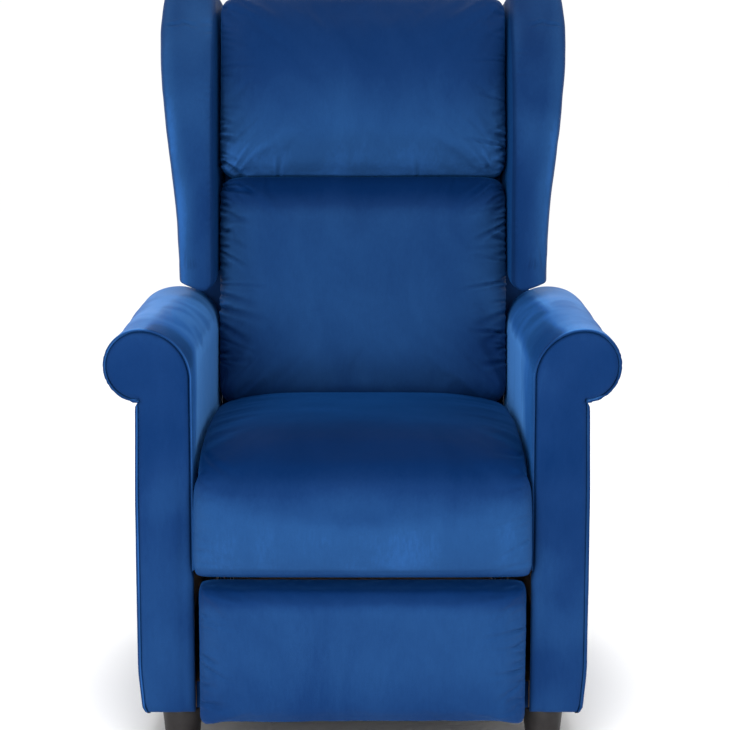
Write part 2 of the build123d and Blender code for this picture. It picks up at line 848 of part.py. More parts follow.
with BuildPart() as back_webbing:
    webbing_low = lumbar_bottom + webbing_width
    webbing_step = (head_top - webbing_width - webbing_low) / (webbing_count - 1)
    with BuildSketch(back_plane.offset(back_front_face)):
        for index in range(webbing_count):
            with Locations((0, webbing_low + index * webbing_step)):
                Rectangle(2 * stile_outer, webbing_width)
    extrude(amount=webbing_thickness)
keep(back_webbing, "back_webbing")

# Pads that close the top and the lower sides of the back frame
pad_depth = back_frame_thickness + webbing_thickness
with BuildPart() as back_top_pad:
    with BuildSketch(back_plane.offset(-back_front_face)):
        with Locations((0, back_frame_top + back_top_pad_thickness / 2)):
            Rectangle(2 * (wing_inner - cushion_lift), back_top_pad_thickness)
    extrude(amount=pad_depth)
    fillet(back_top_pad.edges().filter_by(Axis.X).sort_by(Axis.Z)[-1], soft_edge)
keep(back_top_pad, "back_top_pad")

with BuildPart() as back_side_pads:
    with BuildSketch(back_plane.offset(-back_front_face)):
        for sign in (-1, 1):
            middle, width = side_span(sign, back_bracket_outer + cushion_lift, back_cushion_half)
            with Locations((middle, (back_side_pad_foot + wing_core_foot) / 2)):
                Rectangle(width, wing_core_foot - back_side_pad_foot - 2 * cushion_lift)
    extrude(amount=pad_depth)
keep(back_side_pads, "back_side_pads")

# Lumbar and head cushions, stacked with a seam between them
for name, low, high, depth in (
    ("lumbar_cushion", lumbar_bottom, back_cushion_split - back_cushion_gap / 2, lumbar_depth),
    ("head_cushion", back_cushion_split + back_cushion_gap / 2, head_top, head_depth),
):
    with BuildPart() as back_cushion:
        for share, draw, corner in pillow_sections:
            with BuildSketch(back_plane.offset(cushion_back_face + share * depth)):
                with Locations((0, (low + high) / 2)):
                    RectangleRounded(
                        2 * (back_cushion_half - draw * back_cushion_draw),
                        high - low - 2 * draw * back_cushion_draw,
                        corner,
                    )
        loft()
    keep(back_cushion, name)

# Back brackets turn on the hinge pins and run up the outside of the stiles
bracket_top = hinge + Vector(math.sin(lean), math.cos(lean)) * back_bracket_length
with BuildPart() as back_brackets:
    for sign in (-1, 1):
        with BuildSketch(side_plane(sign, *back_bracket_layer)):
            add(bar_outline([hinge, bracket_top], back_bracket_width))
            with Locations(hinge):
                Circle(hinge_pin_radius + pin_clearance, mode=Mode.SUBTRACT)
        extrude(amount=plate_thickness)
keep(back_brackets, "back_brackets")

# Wings: a flat core on two blocks beside each stile, inside a flared pad
wing_core_inner = wing_inner + wing_core_inset
core_height = wing_core_top - wing_core_foot


def wing_outline(sign, front_half, front_reach, front_thickness, rear_half):
    """Section of a wing across its height: x across the chair, depth measured forwards."""
    rear = back_front_face
    side_reach = front_reach - wing_front_sagitta
    outer_front = (sign * front_half, -side_reach)
    inner_front = (sign * (front_half - front_thickness), -side_reach)
    nose = (sign * (front_half - front_thickness / 2), -front_reach)
    with BuildSketch() as outline:
        with BuildLine():
            Polyline(
                inner_front,
                (sign * wing_inner, -wing_core_reach),
                (sign * wing_inner, rear),
                (sign * rear_half, rear),
                outer_front,
            )
            ThreePointArc(outer_front, nose, inner_front)
        make_face()
    return outline.sketch


for side, sign in (("left", -1), ("right", 1)):
    with BuildPart() as wing_frame:
        with BuildSketch(back_plane.offset(-back_front_face)):
            middle, width = side_span(sign, wing_core_inner, wing_core_inner + wing_core_thickness)
            with Locations((middle, (wing_core_foot + wing_core_top) / 2)):
                Rectangle(width, core_height)
        extrude(amount=back_front_face + wing_core_reach)
        with BuildSketch(back_plane.offset(-back_front_face)):
            middle, width = side_span(sign, stile_outer, wing_core_inner)
            block_span = core_height - wing_block_height
            with Locations((middle, (wing_core_foot + wing_core_top) / 2)):
                with GridLocations(0, block_span, 1, 2):
                    Rectangle(width, wing_block_height)
        extrude(amount=back_frame_thickness)
    keep(wing_frame, f"{side}_wing_frame")

    with BuildPart() as wing_pad:
        for height, front_half, front_reach, front_thickness, rear_half in wing_stations:
            station = back_plane.origin + back_up * height
            with BuildSketch(Plane(origin=station, x_dir=(1, 0, 0), z_dir=back_up)):
                add(wing_outline(sign, front_half, front_reach, front_thickness, rear_half))
        loft()
        split(bisect_by=Plane.XY.offset(wing_floor), keep=Keep.TOP)
        add(wing_frame.part, mode=Mode.SUBTRACT)
    keep(wing_pad, f"{side}_wing_pad")

# Rear cover: narrow between the arms, then as wide as the backs of the wings
cover_half = [(rear_half, height) for height, _, _, _, rear_half in wing_stations]
cover_shoulder = wing_foot + rear_cover_rise
with BuildPart() as rear_cover:
    with BuildSketch(back_plane.offset(-back_rear_reach)):
        with BuildLine():
            Polyline(
                (0, rear_cover_foot),
                (back_cushion_half, rear_cover_foot),
                (back_cushion_half, cover_shoulder),
                (cover_half[0][0], cover_shoulder),
                *[place for place in cover_half if cover_shoulder < place[1] < back_height],
                (cover_half[-1][0], back_height),
                (0, back_height),
                close=True,
            )
        make_face()
        mirror(about=Plane.YZ)
    extrude(amount=rear_cover_thickness)
    rear_edges = rear_cover.faces().sort_by(Axis((0, 0, 0), back_forward))[0].edges()
    fillet(rear_edges, soft_edge)
keep(rear_cover, "rear_cover")
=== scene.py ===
"""Velvet wingback recliner: upholstery, finishes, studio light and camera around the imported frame.

Everything is in metres in the frame's own axes: the chair faces -Y and stands on z = 0.
"""

import json
import math
import random

import bmesh
import bpy
import numpy as np
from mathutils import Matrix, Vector
from mathutils.geometry import delaunay_2d_cdt, tessellate_polygon
from mathutils.noise import noise as smooth_noise


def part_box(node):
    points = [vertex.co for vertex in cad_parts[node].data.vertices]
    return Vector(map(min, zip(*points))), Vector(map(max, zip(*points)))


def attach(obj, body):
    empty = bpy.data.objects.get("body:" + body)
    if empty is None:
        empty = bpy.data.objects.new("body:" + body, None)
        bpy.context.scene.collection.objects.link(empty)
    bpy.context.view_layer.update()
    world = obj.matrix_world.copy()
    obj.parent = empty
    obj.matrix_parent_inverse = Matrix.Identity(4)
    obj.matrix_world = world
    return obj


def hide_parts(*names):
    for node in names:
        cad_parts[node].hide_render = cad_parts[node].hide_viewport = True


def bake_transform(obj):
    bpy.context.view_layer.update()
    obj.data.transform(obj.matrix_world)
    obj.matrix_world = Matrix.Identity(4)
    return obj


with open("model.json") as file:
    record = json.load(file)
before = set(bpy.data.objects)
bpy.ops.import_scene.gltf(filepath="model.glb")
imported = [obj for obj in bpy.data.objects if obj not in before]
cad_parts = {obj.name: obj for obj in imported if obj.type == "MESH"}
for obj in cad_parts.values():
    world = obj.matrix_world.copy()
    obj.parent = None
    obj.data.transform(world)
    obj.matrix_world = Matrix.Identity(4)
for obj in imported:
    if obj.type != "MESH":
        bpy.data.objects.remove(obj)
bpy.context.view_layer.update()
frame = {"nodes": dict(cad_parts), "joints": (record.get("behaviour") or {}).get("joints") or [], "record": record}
scene = bpy.context.scene
SIDES = (("left", -1), ("right", 1))

# Arms, read from the frame on the right
PANEL_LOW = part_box("right_arm_front_panel")[0]
ROLL_LOW, ROLL_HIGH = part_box("right_arm_roll")
COVER_LOW, COVER_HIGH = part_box("right_outer_arm_cover")
PAD_LOW, PAD_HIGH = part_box("right_inner_arm_pad")
ARM_FRONT = PANEL_LOW.y
ARM_BACK = ROLL_HIGH.y
CORE_RADIUS = 0.054
ROLL_X = ROLL_HIGH.x - CORE_RADIUS
ROLL_Z = ROLL_HIGH.z - CORE_RADIUS
ROLL_RADIUS = 0.0525
SWEEP = ROLL_X - ROLL_LOW.x
POST_FULLNESS = 0.0025
SEAM_INSET = 0.0050
COVER_FOOT = 0.0575
PANEL_FOOT = 0.0565

# Back: points on it are given as x, height up the back and reach in front of the hinge plane
BACK_LEAN = math.radians(12)
HINGE = next(joint["pos_m"] for joint in frame["joints"] if joint["name"] == "back_recline")
BACK_TOP = 0.788
WING_TOP = 0.797
WING_FOOT = (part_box("right_wing_pad")[0].z - HINGE[2]) / math.cos(BACK_LEAN)
OUTER_BACK_REACH = -0.0153
PAD_REACH = -0.0148
WEBBING_REACH = 0.0153
LINING_REACH = 0.0176
CUSHION_REACH = 0.0184

# Back cushions: half width, and heights of the foot, the split and the top
CUSHION_HALF = 0.2372
LUMBAR_FOOT = 0.106
SPLIT = 0.484
HEAD_TOP = 0.785

# Wings: height up the back, half width and reach of the front edge, its thickness, rear half width
WING_INNER = 0.2365
WING_STATIONS = np.array(
    (
        (0.290, 0.298, 0.172, 0.058, 0.284),
        (0.450, 0.303, 0.182, 0.062, 0.287),
        (0.580, 0.321, 0.176, 0.077, 0.297),
        (0.690, 0.334, 0.146, 0.089, 0.308),
        (0.752, 0.338, 0.110, 0.092, 0.312),
        (0.798, 0.337, 0.078, 0.086, 0.308),
    )
)


# Finishes
class Finish:
    """A procedural material in the making: nodes that end in its principled shader."""

    def __init__(self, name, **constants):
        self.material = bpy.data.materials.new(name)
        self.material.use_nodes = True
        self.tree = self.material.node_tree
        self.shader = self.tree.nodes["Principled BSDF"]
        for key, value in constants.items():
            self.shader.inputs[key.replace("_", " ")].default_value = value
        self.place = self.node("TexCoord").outputs["Object"]

    def node(self, kind, inputs=None, **settings):
        """A shader node whose inputs are linked where a socket is given and set where a value is."""
        made = self.tree.nodes.new("ShaderNode" + kind)
        for key, value in settings.items():
            setattr(made, key, value)
        for key, value in (inputs or {}).items():
            if isinstance(value, bpy.types.NodeSocket):
                self.tree.links.new(value, made.inputs[key])
            else:
                made.inputs[key].default_value = value
        return made

    def stretched(self, *scale):
        """The piece's own coordinates, scaled along each axis."""
        return self.node("Mapping", {"Vector": self.place, "Scale": scale}).outputs["Vector"]

    def noise(self, scale, detail, roughness=0.5, distortion=0.0, at=None):
        """Cloudy values over the piece, or over other coordinates."""
        inputs = {"Scale": scale, "Detail": detail, "Roughness": roughness, "Distortion": distortion}
        inputs["Vector"] = self.place if at is None else at
        return self.node("TexNoise", inputs).outputs["Fac"]

    def spread(self, value, low, high, start=0.3, end=0.7):
        """Values between start and end, spread from low to high."""
        inputs = {"Value": value, "From Min": start, "From Max": end, "To Min": low, "To Max": high}
        return self.node("MapRange", inputs).outputs["Result"]

    def weigh(self, value, share, base):
        """A share of one value on top of another."""
        return self.node("Math", {0: value, 1: share, 2: base}, operation="MULTIPLY_ADD").outputs["Value"]

    def tint(self, value, *stops):
        """A colour for each value, through (position, colour) stops."""
        ramp = self.node("ValToRGB", {"Fac": value})
        while len(ramp.color_ramp.elements) < len(stops):
            ramp.color_ramp.elements.new(0.5)
        for element, (position, colour) in zip(ramp.color_ramp.elements, stops):
            element.position = position
            element.color = (*colour, 1.0)
        return ramp.outputs["Color"]

    def show(self, socket, source):
        """Link a source to one of the shader's sockets."""
        self.tree.links.new(source, self.shader.inputs[socket])

    def emboss(self, height, strength, distance):
        """Give the surface a fine relief."""
        bump = self.node("Bump", {"Height": height, "Strength": strength, "Distance": distance})
        self.show("Normal", bump.outputs["Normal"])


def blue_velvet():
    """Royal blue short-pile velvet: random patches and streaks in the pile, with light and shade painted into the
    colour per piece and per point.
    """
    finish = Finish(
        "blue_velvet",
        Specular_IOR_Level=0.08,
        Specular_Tint=(0.03, 0.27, 1.0, 1.0),
        Sheen_Weight=0.12,
        Sheen_Roughness=0.42,
        Sheen_Tint=(0.03, 0.27, 0.95, 1.0),
    )
    patches = finish.noise(7.5, 5.0, 0.60, 0.8, at=finish.stretched(1.0, 0.8, 0.55))
    streaks = finish.noise(230.0, 3.0, 0.65, at=finish.stretched(1.0, 1.0, 0.25))
    pile = finish.noise(1500.0, 2.0, 0.6)
    # Painted light and shade, stored on each point with some random pile tone, moves each point along the colour
    # ramp
    pile_and_light = finish.node("Attribute", attribute_name="pile_and_painted_light").outputs["Fac"]
    lean = finish.weigh(streaks, 0.07, finish.weigh(patches, 0.22, 0.355))
    colour = finish.tint(
        finish.weigh(pile_and_light, 0.4, lean),
        (0.10, (0.0002, 0.0062, 0.0310)),
        (0.34, (0.0012, 0.0108, 0.0490)),
        (0.50, (0.0040, 0.0184, 0.0690)),
        (0.68, (0.0092, 0.0375, 0.1120)),
        (0.84, (0.0190, 0.0800, 0.2500)),
        (0.95, (0.0460, 0.1490, 0.3700)),
        (1.00, (0.0660, 0.2050, 0.4900)),
    )
    tone = finish.spread(pile, 0.82, 1.18, 0.25, 0.75)
    shade = finish.node("VectorMath", {0: colour, "Scale": tone}, operation="SCALE")
    finish.show("Base Color", shade.outputs["Vector"])
    finish.show("Roughness", finish.spread(patches, 0.60, 0.46))
    finish.emboss(pile, 0.35, 0.0006)
    return finish.material


def shade_darkened_wood():
    """Dark hardwood with fine grain that runs level; its dark tone is partly stain and partly painted shade for
    the gaps where it shows.
    """
    finish = Finish("frame_wood", Roughness=0.62)
    grain = finish.noise(6.0, 6.0, 0.62, 0.9, at=finish.stretched(3.0, 3.0, 22.0))
    stops = (0.30, (0.050, 0.028, 0.013)), (0.52, (0.085, 0.050, 0.025)), (0.75, (0.130, 0.082, 0.043))
    finish.show("Base Color", finish.tint(grain, *stops))
    finish.emboss(grain, 0.25, 0.0006)
    return finish.material


def coated_steel(name, dark, light, metallic, smooth, rough, speckle):
    """Coated steel: tone and roughness vary in small patches, with a fine skin."""
    finish = Finish(name, Metallic=metallic)
    patches = finish.noise(26.0, 5.0, 0.6)
    finish.show("Base Color", finish.tint(patches, (0.32, dark), (0.70, light)))
    finish.show("Roughness", finish.spread(patches, smooth, rough))
    finish.emboss(finish.noise(speckle, 2.0), 0.12, 0.0004)
    return finish.material


def moulded_plastic():
    """Black moulded plastic with a fine spark-eroded grain and scuffs."""
    finish = Finish("foot_plastic", Specular_IOR_Level=0.22)
    scuff = finish.noise(34.0, 6.0, 0.7)
    stops = (0.35, (0.006, 0.005, 0.005)), (0.72, (0.016, 0.014, 0.014))
    finish.show("Base Color", finish.tint(scuff, *stops))
    finish.show("Roughness", finish.spread(scuff, 0.38, 0.55))
    grain = finish.node("TexVoronoi", {"Vector": finish.place, "Scale": 1100.0})
    finish.emboss(grain.outputs["Distance"], 0.2, 0.0004)
    return finish.material


def elastic_webbing():
    """Woven elastic webbing: a fine basket weave in two greys."""
    finish = Finish("webbing", Roughness=0.85)
    thread = {"Vector": finish.place, "Scale": 130.0, "Distortion": 0.3}
    warp = finish.node("TexWave", thread, bands_direction="X").outputs["Fac"]
    weft = finish.node("TexWave", thread, bands_direction="Z").outputs["Fac"]
    weave = finish.node("Math", {0: warp, 1: weft}, operation="MULTIPLY").outputs["Value"]
    finish.show("Base Color", finish.tint(weave, (0.1, (0.10, 0.10, 0.105)), (0.8, (0.34, 0.33, 0.32))))
    finish.emboss(weave, 0.5, 0.0008)
    return finish.material


BLACK = (0.010, 0.010, 0.011), (0.030, 0.030, 0.032)
ZINC = (0.42, 0.43, 0.44), (0.66, 0.66, 0.65)
FINISHES = {
    "velvet": blue_velvet(),
    "frame_wood": shade_darkened_wood(),
    "black_steel": coated_steel("black_steel", *BLACK, 0.35, 0.34, 0.5, 900.0),
    "zinc_steel": coated_steel("zinc_steel", *ZINC, 1.0, 0.26, 0.42, 700.0),
    "foot_plastic": moulded_plastic(),
    "webbing": elastic_webbing(),
}
for part in frame["record"]["subparts"]:
    mesh = frame["nodes"][part["node"]].data
    mesh.materials.clear()
    mesh.materials.append(FINISHES[part["material_slot"]])


# Meshes
def make_object(name, points, faces, slot="velvet", merge=False):
    """A smooth-shaded mesh object in one of the finishes, with its faces pointing outwards."""
    mesh = bpy.data.meshes.new(name)
    mesh.from_pydata(np.asarray(points).tolist(), [], faces)
    shaped = bmesh.new()
    shaped.from_mesh(mesh)
    if merge:
        bmesh.ops.remove_doubles(shaped, verts=shaped.verts, dist=1e-6)
    bmesh.ops.recalc_face_normals(shaped, faces=shaped.faces)
    shaped.to_mesh(mesh)
    shaped.free()
    mesh.shade_smooth()
    mesh.materials.append(FINISHES[slot])
    made = bpy.data.objects.new(name, mesh)
    scene.collection.objects.link(made)
    return made


def dress(piece, body, slot, *nodes):
    """Put a finished piece on its body and hide the nodes that it stands for; slot is not used."""
    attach(piece, body)
    if nodes:
        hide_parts(*nodes)


def upholster(piece, body, fill, *nodes):
    """Put a padded velvet piece on its body."""
    dress(piece, body, "velvet", *nodes)


def ring(reach, height, steps):
    """Points round the Z axis; reach and height are one number each, or one for each point."""
    turn = 2 * math.pi * np.arange(steps) / steps
    return np.stack(np.broadcast_arrays(reach * np.cos(turn), reach * np.sin(turn), height), axis=-1)


def ring_faces(count, around, closed=False):
    """Faces between each ring of points and the next; closed joins the last ring to the first."""
    faces = []
    for row in range(count if closed else count - 1):
        low, high = row * around, (row + 1) % count * around
        for index in range(around):
            step = (index + 1) % around
            faces.append((low + index, low + step, high + step, high + index))
    return faces


def slab_faces(tall, wide):
    """Faces of a thin slab: a grid of points, the same grid behind it, and the rim between them."""
    behind = tall * wide
    faces = []
    for row in range(tall - 1):
        for column in range(wide - 1):
            corner = row * wide + column
            faces.append((corner, corner + 1, corner + wide + 1, corner + wide))
            corner += behind
            faces.append((corner, corner + wide, corner + wide + 1, corner + 1))
    rim = list(range(wide)) + [row * wide + wide - 1 for row in range(1, tall)]
    rim += [(tall - 1) * wide + column for column in range(wide - 2, -1, -1)]
    rim += [row * wide for row in range(tall - 2, 0, -1)]
    for place, after in zip(rim, rim[1:] + rim[:1]):
        faces.append((place, after, behind + after, behind + place))
    return faces


def loft(name, rows, concave=False):
    """A closed skin through rows of points, capped at both ends."""
    rows = np.asarray(rows)
    count, around, _ = rows.shape
    faces = ring_faces(count, around)
    for base, loop in ((0, rows[0]), ((count - 1) * around, rows[-1])):
        if concave:
            corners = tessellate_polygon([[Vector(point) for point in loop]])
            faces += [tuple(base + index for index in corner) for corner in corners]
        else:
            faces.append(tuple(range(base, base + around)))
    return make_object(name, rows.reshape(-1, 3), faces)


def read_points(piece):
    """The mesh's points and normals as arrays."""
    count = len(piece.data.vertices)
    points = np.empty(count * 3, np.float32)
    normals = np.empty(count * 3, np.float32)
    piece.data.vertices.foreach_get("co", points)
    piece.data.vertex_normals.foreach_get("vector", normals)
    return points.reshape(-1, 3).astype(float), normals.reshape(-1, 3).astype(float)


def write_points(piece, points):
    """Move the mesh's points."""
    piece.data.vertices.foreach_set("co", np.asarray(points, np.float32).ravel())
    piece.data.update()


def bake(piece):
    """Turn a piece's modifiers into plain mesh."""
    graph = bpy.context.evaluated_depsgraph_get()
    mesh = bpy.data.meshes.new_from_object(piece.evaluated_get(graph))
    piece.modifiers.clear()
    piece.data = mesh
    mesh.shade_smooth()


def subdivide(piece):
    """Smooth a piece by one round of subdivision and keep the result as mesh."""
    modifier = piece.modifiers.new("smooth", "SUBSURF")
    modifier.levels = 1
    modifier.render_levels = 1
    bake(piece)


def paint_pile_and_light(piece, lean):
    """Store painted light and shade on each point, with some random pile tone: above 0 lighter, below 0 darker."""
    values = piece.data.attributes.new("pile_and_painted_light", "FLOAT", "POINT")
    values.data.foreach_set("value", np.asarray(lean, np.float32))


# Curves and fields
def ease(value, low, high):
    """Smooth step of an array from 0 at low to 1 at high."""
    share = np.clip((value - low) / (high - low), 0.0, 1.0)
    return share * share * (3.0 - 2.0 * share)


def hump(value, centre, width):
    """A bell of height 1 about a centre."""
    return np.exp(-(((value - centre) / width) ** 2))


def soft_limit(value, limit, softness):
    """Values approach a limit and never pass it."""
    start = limit - softness
    past = np.maximum(value - start, 0.0)
    return np.where(value > start, limit - softness * np.exp(-past / softness), value)


def waves(points, size, seed):
    """Smooth noise at points, with features of about that size."""
    shift = Vector((seed * 3.7, seed * 1.9, seed * 7.3))
    return np.array([smooth_noise(Vector(point) / size + shift) for point in points])


def flat_waves(a, b, size, seed):
    """Smooth noise over a flat panel."""
    return waves(np.stack([a, b, b * 0], axis=-1), size, seed)


def patchy(points, stretch, size, seed, contrast=4):
    """Patches of brushed pile from -1 to 1, drawn out along the axes where stretch is below 1."""
    return np.tanh(contrast * waves(points * stretch, size, seed))


def crease_field(across, along, creases):
    """Depth of a set of creases: each is (across, along, degrees, length, width, depth)."""
    lead = 0.006
    depth = np.zeros(len(across))
    for start_a, start_b, degrees, length, width, press in creases:
        sine, cosine = math.sin(math.radians(degrees)), math.cos(math.radians(degrees))
        run_a, run_b = across - start_a, along - start_b
        forward = (run_a * cosine + run_b * sine) / length
        aside = np.abs(run_b * cosine - run_a * sine) / (width * (0.55 + 0.6 * np.clip(forward, 0, 1)))
        behind, ahead = hump(forward * length, 0.0, lead), np.clip(1 - forward, 0, 1) ** 1.2
        fade = np.where(forward < 0, behind, ahead)
        depth += press * fade * (0.45 * hump(aside, 1.9, 1.0) - hump(aside, 0.0, 1.0))
    return depth


def on_back(across, height, reach):
    """Room points from places on the back."""
    sine, cosine = math.sin(BACK_LEAN), math.cos(BACK_LEAN)
    y = HINGE[1] + height * sine - reach * cosine
    z = HINGE[2] + height * cosine + reach * sine
    return np.stack(np.broadcast_arrays(across, y, z), axis=-1)


def off_back(points):
    """Places on the back from room points: x, height, reach."""
    sine, cosine = math.sin(BACK_LEAN), math.cos(BACK_LEAN)
    y, z = points[:, 1] - HINGE[1], points[:, 2] - HINGE[2]
    return points[:, 0], y * sine + z * cosine, z * sine - y * cosine


def smooth_curve(keys, values, at):
    """Values of a smooth curve through key points."""
    slope = np.gradient(values, keys)
    index = np.clip(np.searchsorted(keys, at) - 1, 0, len(keys) - 2)
    span = keys[index + 1] - keys[index]
    share = np.clip((at - keys[index]) / span, 0, 1)
    return (
        (2 * share**3 - 3 * share**2 + 1) * values[index]
        + (share**3 - 2 * share**2 + share) * span * slope[index]
        + (3 * share**2 - 2 * share**3) * values[index + 1]
        + (share**3 - share**2) * span * slope[index + 1]
    )


def wing_size(column, height):
    """One of the wing's sizes at a height up the back."""
    return smooth_curve(WING_STATIONS[:, 0], WING_STATIONS[:, column], np.asarray(height))


def rounded_loop(corners, radii, arc_steps, side_steps):
    """A closed loop through corners with rounded turns, always with the same count of points."""
    fullness = 0.88
    corners = [np.asarray(corner, float) for corner in corners]
    turns = []
    for index, corner in enumerate(corners):
        before, after = corners[index - 1] - corner, corners[(index + 1) % len(corners)] - corner
        before_length, after_length = np.linalg.norm(before), np.linalg.norm(after)
        before, after = before / before_length, after / after_length
        half = math.acos(np.clip(before @ after, -1, 1)) / 2
        cut = min(radii[index] / math.tan(half), 0.45 * before_length, 0.45 * after_length)
        start, end = corner + before * cut, corner + after * cut
        pull = (1 - fullness) * (start + end) / 2 + fullness * corner
        steps = np.linspace(0, 1, arc_steps)
        turns.append([(1 - t) ** 2 * start + 2 * t * (1 - t) * pull + t * t * end for t in steps])
    loop = []
    for index, turn in enumerate(turns):
        loop += turn
        start, end = turn[-1], turns[(index + 1) % len(turns)][0]
        loop += [start + (end - start) * t for t in np.linspace(0, 1, side_steps + 2)[1:-1]]
    return np.array(loop)


def block(low, high):
    """The four corners of an upright rectangle, from its lowest and highest corner."""
    return [low, (high[0], low[1]), high, (low[0], high[1])]


def loop_normals(loop):
    """Outward directions round a closed loop that runs anticlockwise."""
    run = np.roll(loop, -1, axis=0) - np.roll(loop, 1, axis=0)
    run /= np.linalg.norm(run, axis=1)[:, None]
    return np.stack([run[:, 1], -run[:, 0]], axis=-1)


# Padding
def soft_box(name, half, corner_power, edge_power, cuts=34):
    """A rounded block about the origin: lower powers round its corners, seen along Z, and its edges."""
    shaped = bmesh.new()
    bmesh.ops.create_cube(shaped, size=2.0)
    bmesh.ops.subdivide_edges(shaped, edges=shaped.edges[:], cuts=cuts, use_grid_fill=True)
    points = np.array([vertex.co for vertex in shaped.verts])
    faces = [tuple(vertex.index for vertex in face.verts) for face in shaped.faces]
    shaped.free()
    flat = (np.abs(points[:, :2]) ** corner_power).sum(axis=1) ** (1.0 / corner_power)
    size = (flat**edge_power + np.abs(points[:, 2]) ** edge_power) ** (1.0 / edge_power)
    return make_object(name, points / size[:, None] * np.asarray(half), faces)


def swell(piece, held, cap):
    """Blow a pad up as cloth under pressure, each point moving no further than the cap."""
    rest, _ = read_points(piece)
    firm = np.round(held(rest), 1)
    group = piece.vertex_groups.new(name="held")
    for level in np.unique(firm[firm > 0]):
        group.add(np.nonzero(firm == level)[0].tolist(), float(level), "REPLACE")
    cloth = piece.modifiers.new("cloth", "CLOTH")
    cloth.settings.use_pressure = True
    cloth.settings.uniform_pressure_force = 4.0
    cloth.settings.effector_weights.gravity = 0.0
    cloth.settings.vertex_group_mass = "held"
    cloth.settings.shrink_min = -0.008
    cloth.settings.quality = 4
    cloth.settings.bending_stiffness = 0.6
    cloth.collision_settings.use_collision = False
    cloth.point_cache.frame_end = 20
    for number in range(1, cloth.point_cache.frame_end + 1):
        scene.frame_set(number)
    bake(piece)
    move = read_points(piece)[0] - rest
    far = np.linalg.norm(move, axis=1)
    share = cap * (1 - np.exp(-far / cap)) / np.maximum(far, 1e-9)
    write_points(piece, rest + move * share[:, None])
    scene.frame_set(1)


def inflate(piece, held, cap, voxel=0.0054, taut=0):
    """Turn a shape into a stuffed pad; held(points) gives how firmly each point is sewn or backed.

    Each round of taut draws small wrinkles out of the swollen cloth.
    """
    remesh = piece.modifiers.new("even", "REMESH")
    remesh.mode = "VOXEL"
    remesh.voxel_size = voxel
    bake(piece)
    swell(piece, held, cap)
    if taut:
        smooth = piece.modifiers.new("taut", "SMOOTH")
        smooth.factor = 0.5
        smooth.iterations = taut
        bake(piece)
    subdivide(piece)


def padded_panel(name, outline, lift, place, depth, spacing, rings=()):
    """A padded panel over a flat outline: lift raises it by edge distance, place puts it in the room."""
    corners = np.asarray(outline)
    edge = []
    for start, end in zip(corners, np.roll(corners, -1, axis=0)):
        steps = max(1, int(round(np.linalg.norm(end - start) / spacing)))
        edge += [start + (end - start) * step / steps for step in range(steps)]
    edge = np.array(edge)
    after = np.roll(edge, -1, axis=0)
    turn = np.sign((edge[:, 0] * after[:, 1] - after[:, 0] * edge[:, 1]).sum())

    def edge_distance(points):
        nearest = np.full(len(points), 1e9)
        for p, q in zip(edge, after):
            run = q - p
            share = np.clip(((points - p) @ run) / (run @ run), 0, 1)
            nearest = np.minimum(nearest, np.linalg.norm(points - p - share[:, None] * run, axis=1))
        return nearest

    low, high = edge.min(axis=0) + spacing / 2, edge.max(axis=0)
    grid = [
        (a + (row % 2) * spacing / 2, b)
        for row, b in enumerate(np.arange(low[1], high[1], spacing * 0.87))
        for a in np.arange(low[0], high[0], spacing)
    ]
    grid = np.array(grid)
    grid = grid[edge_distance(grid) > max(rings, default=0.0) + spacing * 0.55]
    layers = [edge]
    for inset in rings:
        inner = edge - turn * loop_normals(edge) * inset
        layers.append(inner[edge_distance(inner) > inset * 0.8])
    flat = np.vstack(layers + [grid])
    verts, _, faces, origin, _, _ = delaunay_2d_cdt(
        [Vector(point) for point in flat], [], [list(range(len(edge)))], 1, 1e-7
    )
    flat = np.array(verts)
    found = {source: index for index, sources in enumerate(origin) for source in sources}
    rim_ids = [found[index] for index in range(len(edge))]
    away = edge_distance(flat)
    away[rim_ids] = 0.0
    points = place(flat[:, 0], flat[:, 1], lift(away, flat[:, 0], flat[:, 1]))
    rim = place(flat[rim_ids, 0], flat[rim_ids, 1], np.full(len(rim_ids), -depth))
    count = len(points)
    faces = [tuple(face) for face in faces]
    for index in range(len(rim_ids)):
        step = (index + 1) % len(rim_ids)
        faces.append((rim_ids[index], rim_ids[step], count + step, count + index))
    back = tessellate_polygon([[Vector(point) for point in rim]])
    faces += [tuple(count + index for index in corner) for corner in back]
    return make_object(name, np.vstack([points, rim]), faces)


# Arms: one skin runs from the outer bottom edge over the scroll and down the inside
def scroll_outline(inset, flare=0.0, settle=0.0):
    """Outer line of an arm from the outside bottom to the inside, on the right, pulled in by inset.

    The scroll leans out by flare and its crown sinks by settle.
    """
    outer = COVER_HIGH.x + POST_FULLNESS - inset
    radius = ROLL_RADIUS - inset
    sweep = SWEEP - inset
    start = -math.acos(min((outer - ROLL_X) / radius, 1.0))
    neck = ROLL_Z + radius * math.sin(start)
    hem = COVER_FOOT + np.array((0.0, 0.0010, 0.0030, 0.0065, 0.0110))
    heights = np.append(hem, np.linspace(COVER_FOOT + 0.0165, neck - 0.012, 55))
    tuck = 0.0020 * ease(neck - heights, 0.0, 0.15) - 0.0050 * (1 - ease(heights, 0.050, 0.130))
    tuck -= 0.0040 * (1 - ease(heights, 0.0555, 0.0660))
    line = list(zip(outer + tuck, heights))
    pinches = (0.006, 0.0004), (0.003, 0.0012), (0.001, 0.0022)
    line += [(outer - pinch, neck - drop) for drop, pinch in pinches]
    turns = [start + math.radians(step) for step in (1.5, 4.0, 8.0)]
    for angle in turns + np.linspace(start + math.radians(13), math.pi / 2, 40).tolist():
        reach, rise = math.cos(angle), math.sin(angle)
        line.append((ROLL_X + (radius + flare) * reach, ROLL_Z + radius * rise - settle * max(rise, 0.0)))
    for angle in np.radians(np.linspace(94, 180, 26)):
        rise = math.sin(angle)
        line.append((ROLL_X + sweep * math.cos(angle), ROLL_Z + radius - sweep + (sweep - settle) * rise))
    return line


